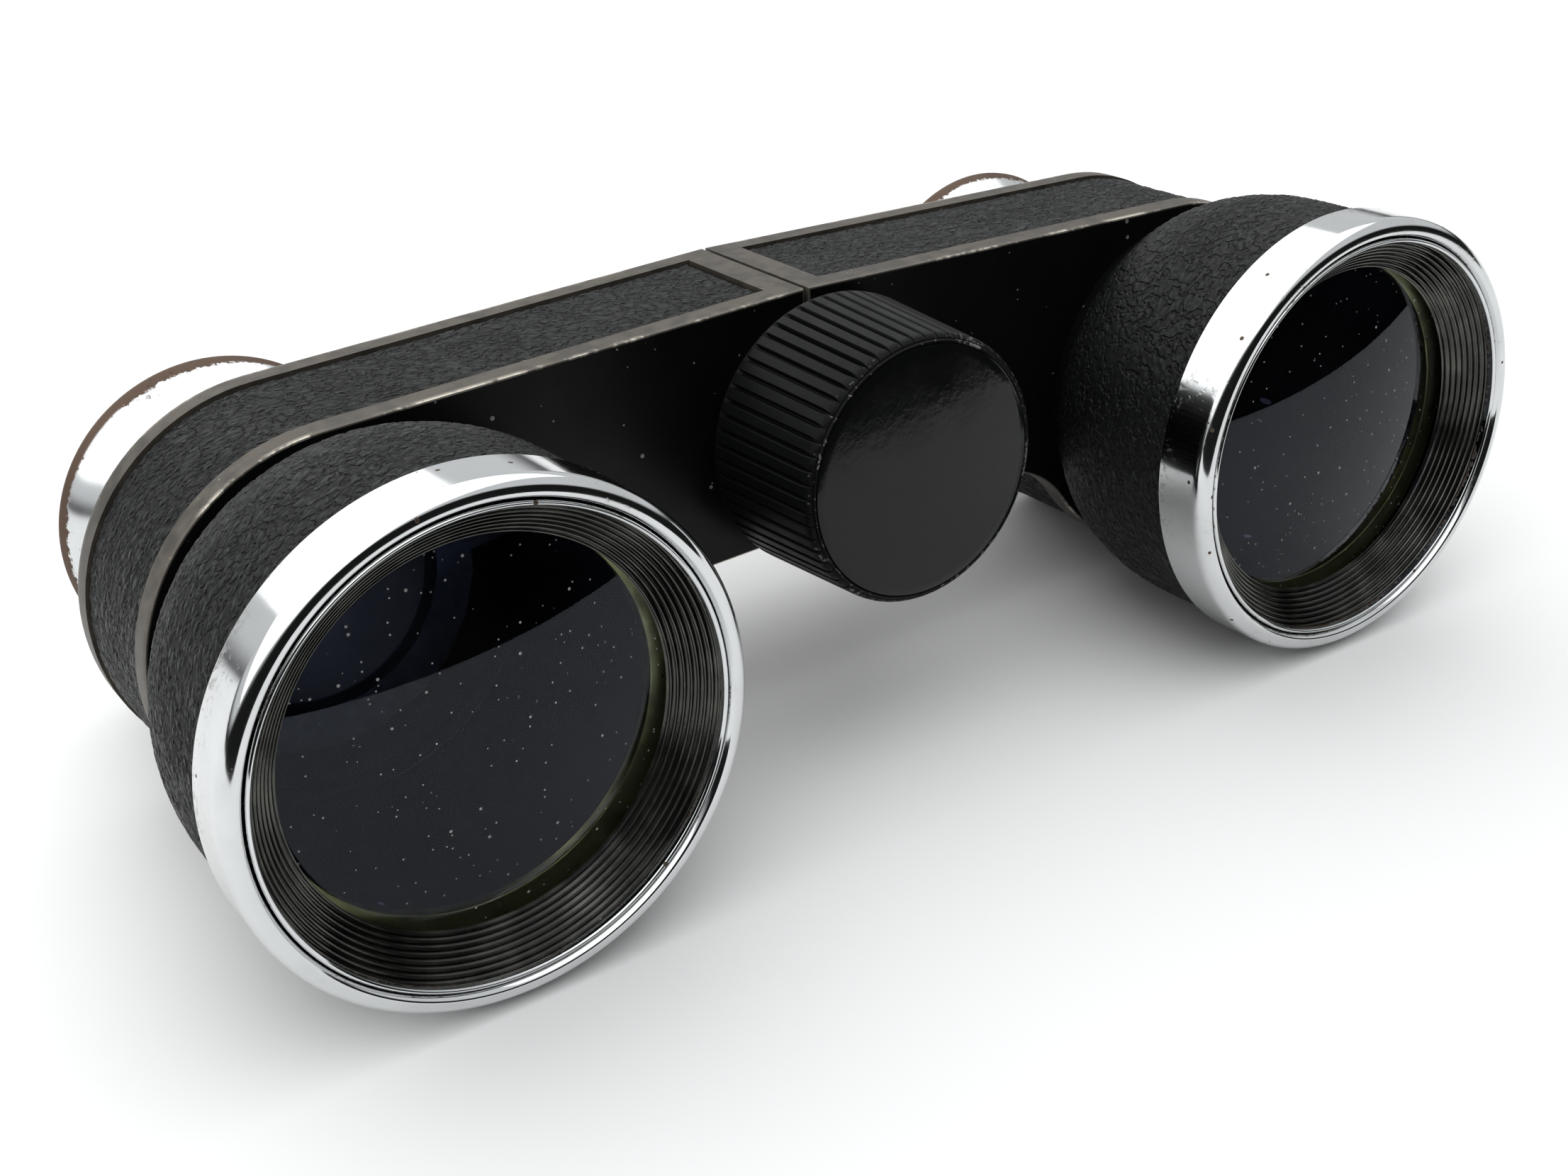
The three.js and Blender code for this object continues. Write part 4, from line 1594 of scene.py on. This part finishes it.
    def bushes(self) -> list[bpy.types.Object]:
        """The brass bushes of the hinge, and the friction washer behind the knob."""
        bore, stem, flange = 2.06, 3.0, 4.4
        front = [(bore, 17.15), (flange, 17.15), (flange, 18.05), (stem, 18.05), (stem, 19.95), (bore, 19.95)]
        rear = [(bore, 28.75), (stem, 28.75), (stem, 30.45), (flange, 30.45), (flange, 31.15), (bore, 31.15)]
        rows = {
            "front_hinge_bush": front,
            "rear_hinge_bush": rear,
            "friction_washer": [(2.15, 16.15), (4.3, 16.15), (4.3, 17.0), (2.15, 17.0)],
        }
        made = []
        for node, corners in rows.items():
            washer = node == "friction_washer"
            obj = self.turn(f"turned_{node}", eased([(r, y, 0.08) for r, y in corners]), 96)
            material = self.palette.steel if washer else self.palette.brass
            body = "focus_wheel" if washer else "left_half"
            made.append(dress(smooth(obj), material, "steel" if washer else "brass", body, node))
        return made

    def inner_nodes(self) -> None:
        """Gives the pieces inside the housings their bare metals."""
        finishes = {
            "left_carrier_arm": self.palette.steel,
            "right_carrier_arm": self.palette.steel,
            "focus_nut": self.palette.brass,
            "focus_spindle": self.palette.brass,
            "knob_screw": self.palette.steel,
        }
        for node, material in finishes.items():
            for slot in frame["nodes"][node].material_slots:
                slot.material = material
            LOG.info("%s keeps its mesh", node)

    def build(self) -> list[bpy.types.Object]:
        """Makes and dresses every piece of the gear."""
        self.inner_nodes()
        return [self.knob(), self.face(), self.end_screw(), *self.bushes()]


# --- Stage ----------------------------------------------------------------------------------


@dataclass
class Studio:
    """A pale floor, soft light and the camera."""

    floor_size: float = 3.0
    floor_front: float = -0.1
    ceiling: float = 0.75
    pale: float = 0.92
    touch: tuple[float, float] = (-0.00905, 0.00055)
    slope: float = 0.0968
    camera_at: tuple[float, float, float] = (-0.06896, -0.10374, 0.06749)
    forward: tuple[float, float, float] = (0.49126, 0.75306, -0.43769)
    up: tuple[float, float, float] = (0.28539, 0.3356, 0.89773)
    lens: float = 46.17
    lamp_at: tuple[float, float, float] = (-0.12, 0.1, 0.5)
    lamp_aim: tuple[float, float, float] = (0.0, 0.0, 0.01)
    lamp_size: Point2 = (1.7, 1.3)
    lamp_watts: float = 7.2

    def floor(self) -> bpy.types.Object:
        """The plain floor, tilted to touch the barrels and the backs of the housings."""
        half = self.floor_size / 2
        y0, z0 = self.touch
        corners = [(-half, self.floor_front), (half, self.floor_front), (half, half), (-half, half)]
        mesh = bpy.data.meshes.new("floor")
        mesh.from_pydata([(x, y, z0 + self.slope * (y - y0)) for x, y in corners], [], [(0, 1, 2, 3)])
        obj = place("floor", mesh)
        bench = Bench("pale_floor")
        bench.surface(
            Base_Color=bench.blend(bench.clouds(9, 3), (0.86, 0.86, 0.855), (0.9, 0.9, 0.9)),
            Roughness=bench.reach(bench.clouds(30, 2), 0.2, 0.8, 0.6, 0.75),
        )
        obj.data.materials.append(bench.material)
        return obj

    def lamp(self) -> None:
        """Hangs one soft lamp overhead."""
        lamp = bpy.data.lights.new("overhead", "AREA")
        lamp.shape = "RECTANGLE"
        lamp.size, lamp.size_y = self.lamp_size
        lamp.energy = self.lamp_watts
        obj = bpy.data.objects.new("overhead", lamp)
        obj.location = self.lamp_at
        way = Vector(self.lamp_aim) - Vector(self.lamp_at)
        obj.rotation_euler = way.to_track_quat("-Z", "Y").to_euler()
        bpy.context.scene.collection.objects.link(obj)

    def sky(self) -> None:
        """A room that is bright overhead and darker at eye level."""
        world = bpy.data.worlds.new("room")
        world.use_nodes = True
        room = Nodes(world.node_tree)
        way = room.node("ShaderNodeTexCoord").outputs["Generated"]
        split = room.node("ShaderNodeSeparateXYZ", {0: way}).outputs
        behind = room.plus(split[2], room.times(split[1], 0.55))
        light = room.times(room.reach(behind, 0.0, 0.25), room.reach(split[2], 0.05, 0.2))
        light = room.plus(room.times(light, self.ceiling), 0.012)
        seen = room.node("ShaderNodeLightPath").outputs["Is Camera Ray"]
        unseen = room.times(room.minus(1.0, seen), light)
        strength = room.plus(unseen, room.times(seen, self.pale))
        back = room.node("ShaderNodeBackground", {0: (0.97, 0.985, 1.0), 1: strength})
        room.node("ShaderNodeOutputWorld", {0: back.outputs[0]})
        bpy.context.scene.world = world

    def camera(self) -> None:
        """Stands the camera at its viewing angle."""
        data = bpy.data.cameras.new("camera")
        data.sensor_width = 36.0
        data.lens = self.lens
        data.clip_start = 0.005
        obj = bpy.data.objects.new("camera", data)
        back = -Vector(self.forward).normalized()
        right = Vector(self.up).cross(back).normalized()
        turn = Matrix((right, back.cross(right), back)).transposed()
        obj.matrix_world = Matrix.Translation(self.camera_at) @ turn.to_4x4()
        bpy.context.scene.collection.objects.link(obj)
        bpy.context.scene.camera = obj

    def build(self) -> None:
        """Sets up the whole stage."""
        self.camera()
        self.floor()
        self.sky()
        self.lamp()
        bpy.context.scene.view_settings.view_transform = "Standard"


def main() -> None:
    """Builds every sub-assembly in order and reports it."""
    logging.basicConfig(level=logging.INFO, format="%(name)s: %(message)s")
    layout = Layout.from_frame()
    palette = Palette()
    Studio().build()
    ridge_tree, rib_tree = ridge_repeat(), ring_repeat()
    made = FocusGear(layout, palette, rib_tree).build()
    for side in Side:
        made += Housing(side, layout, palette).build()
        made += Barrel(side, layout, palette, ridge_tree).build()
        made += Eyepiece(side, layout, palette).build()
    LOG.info("%d pieces dressed", len(made))


if __name__ == "__main__":
    main()
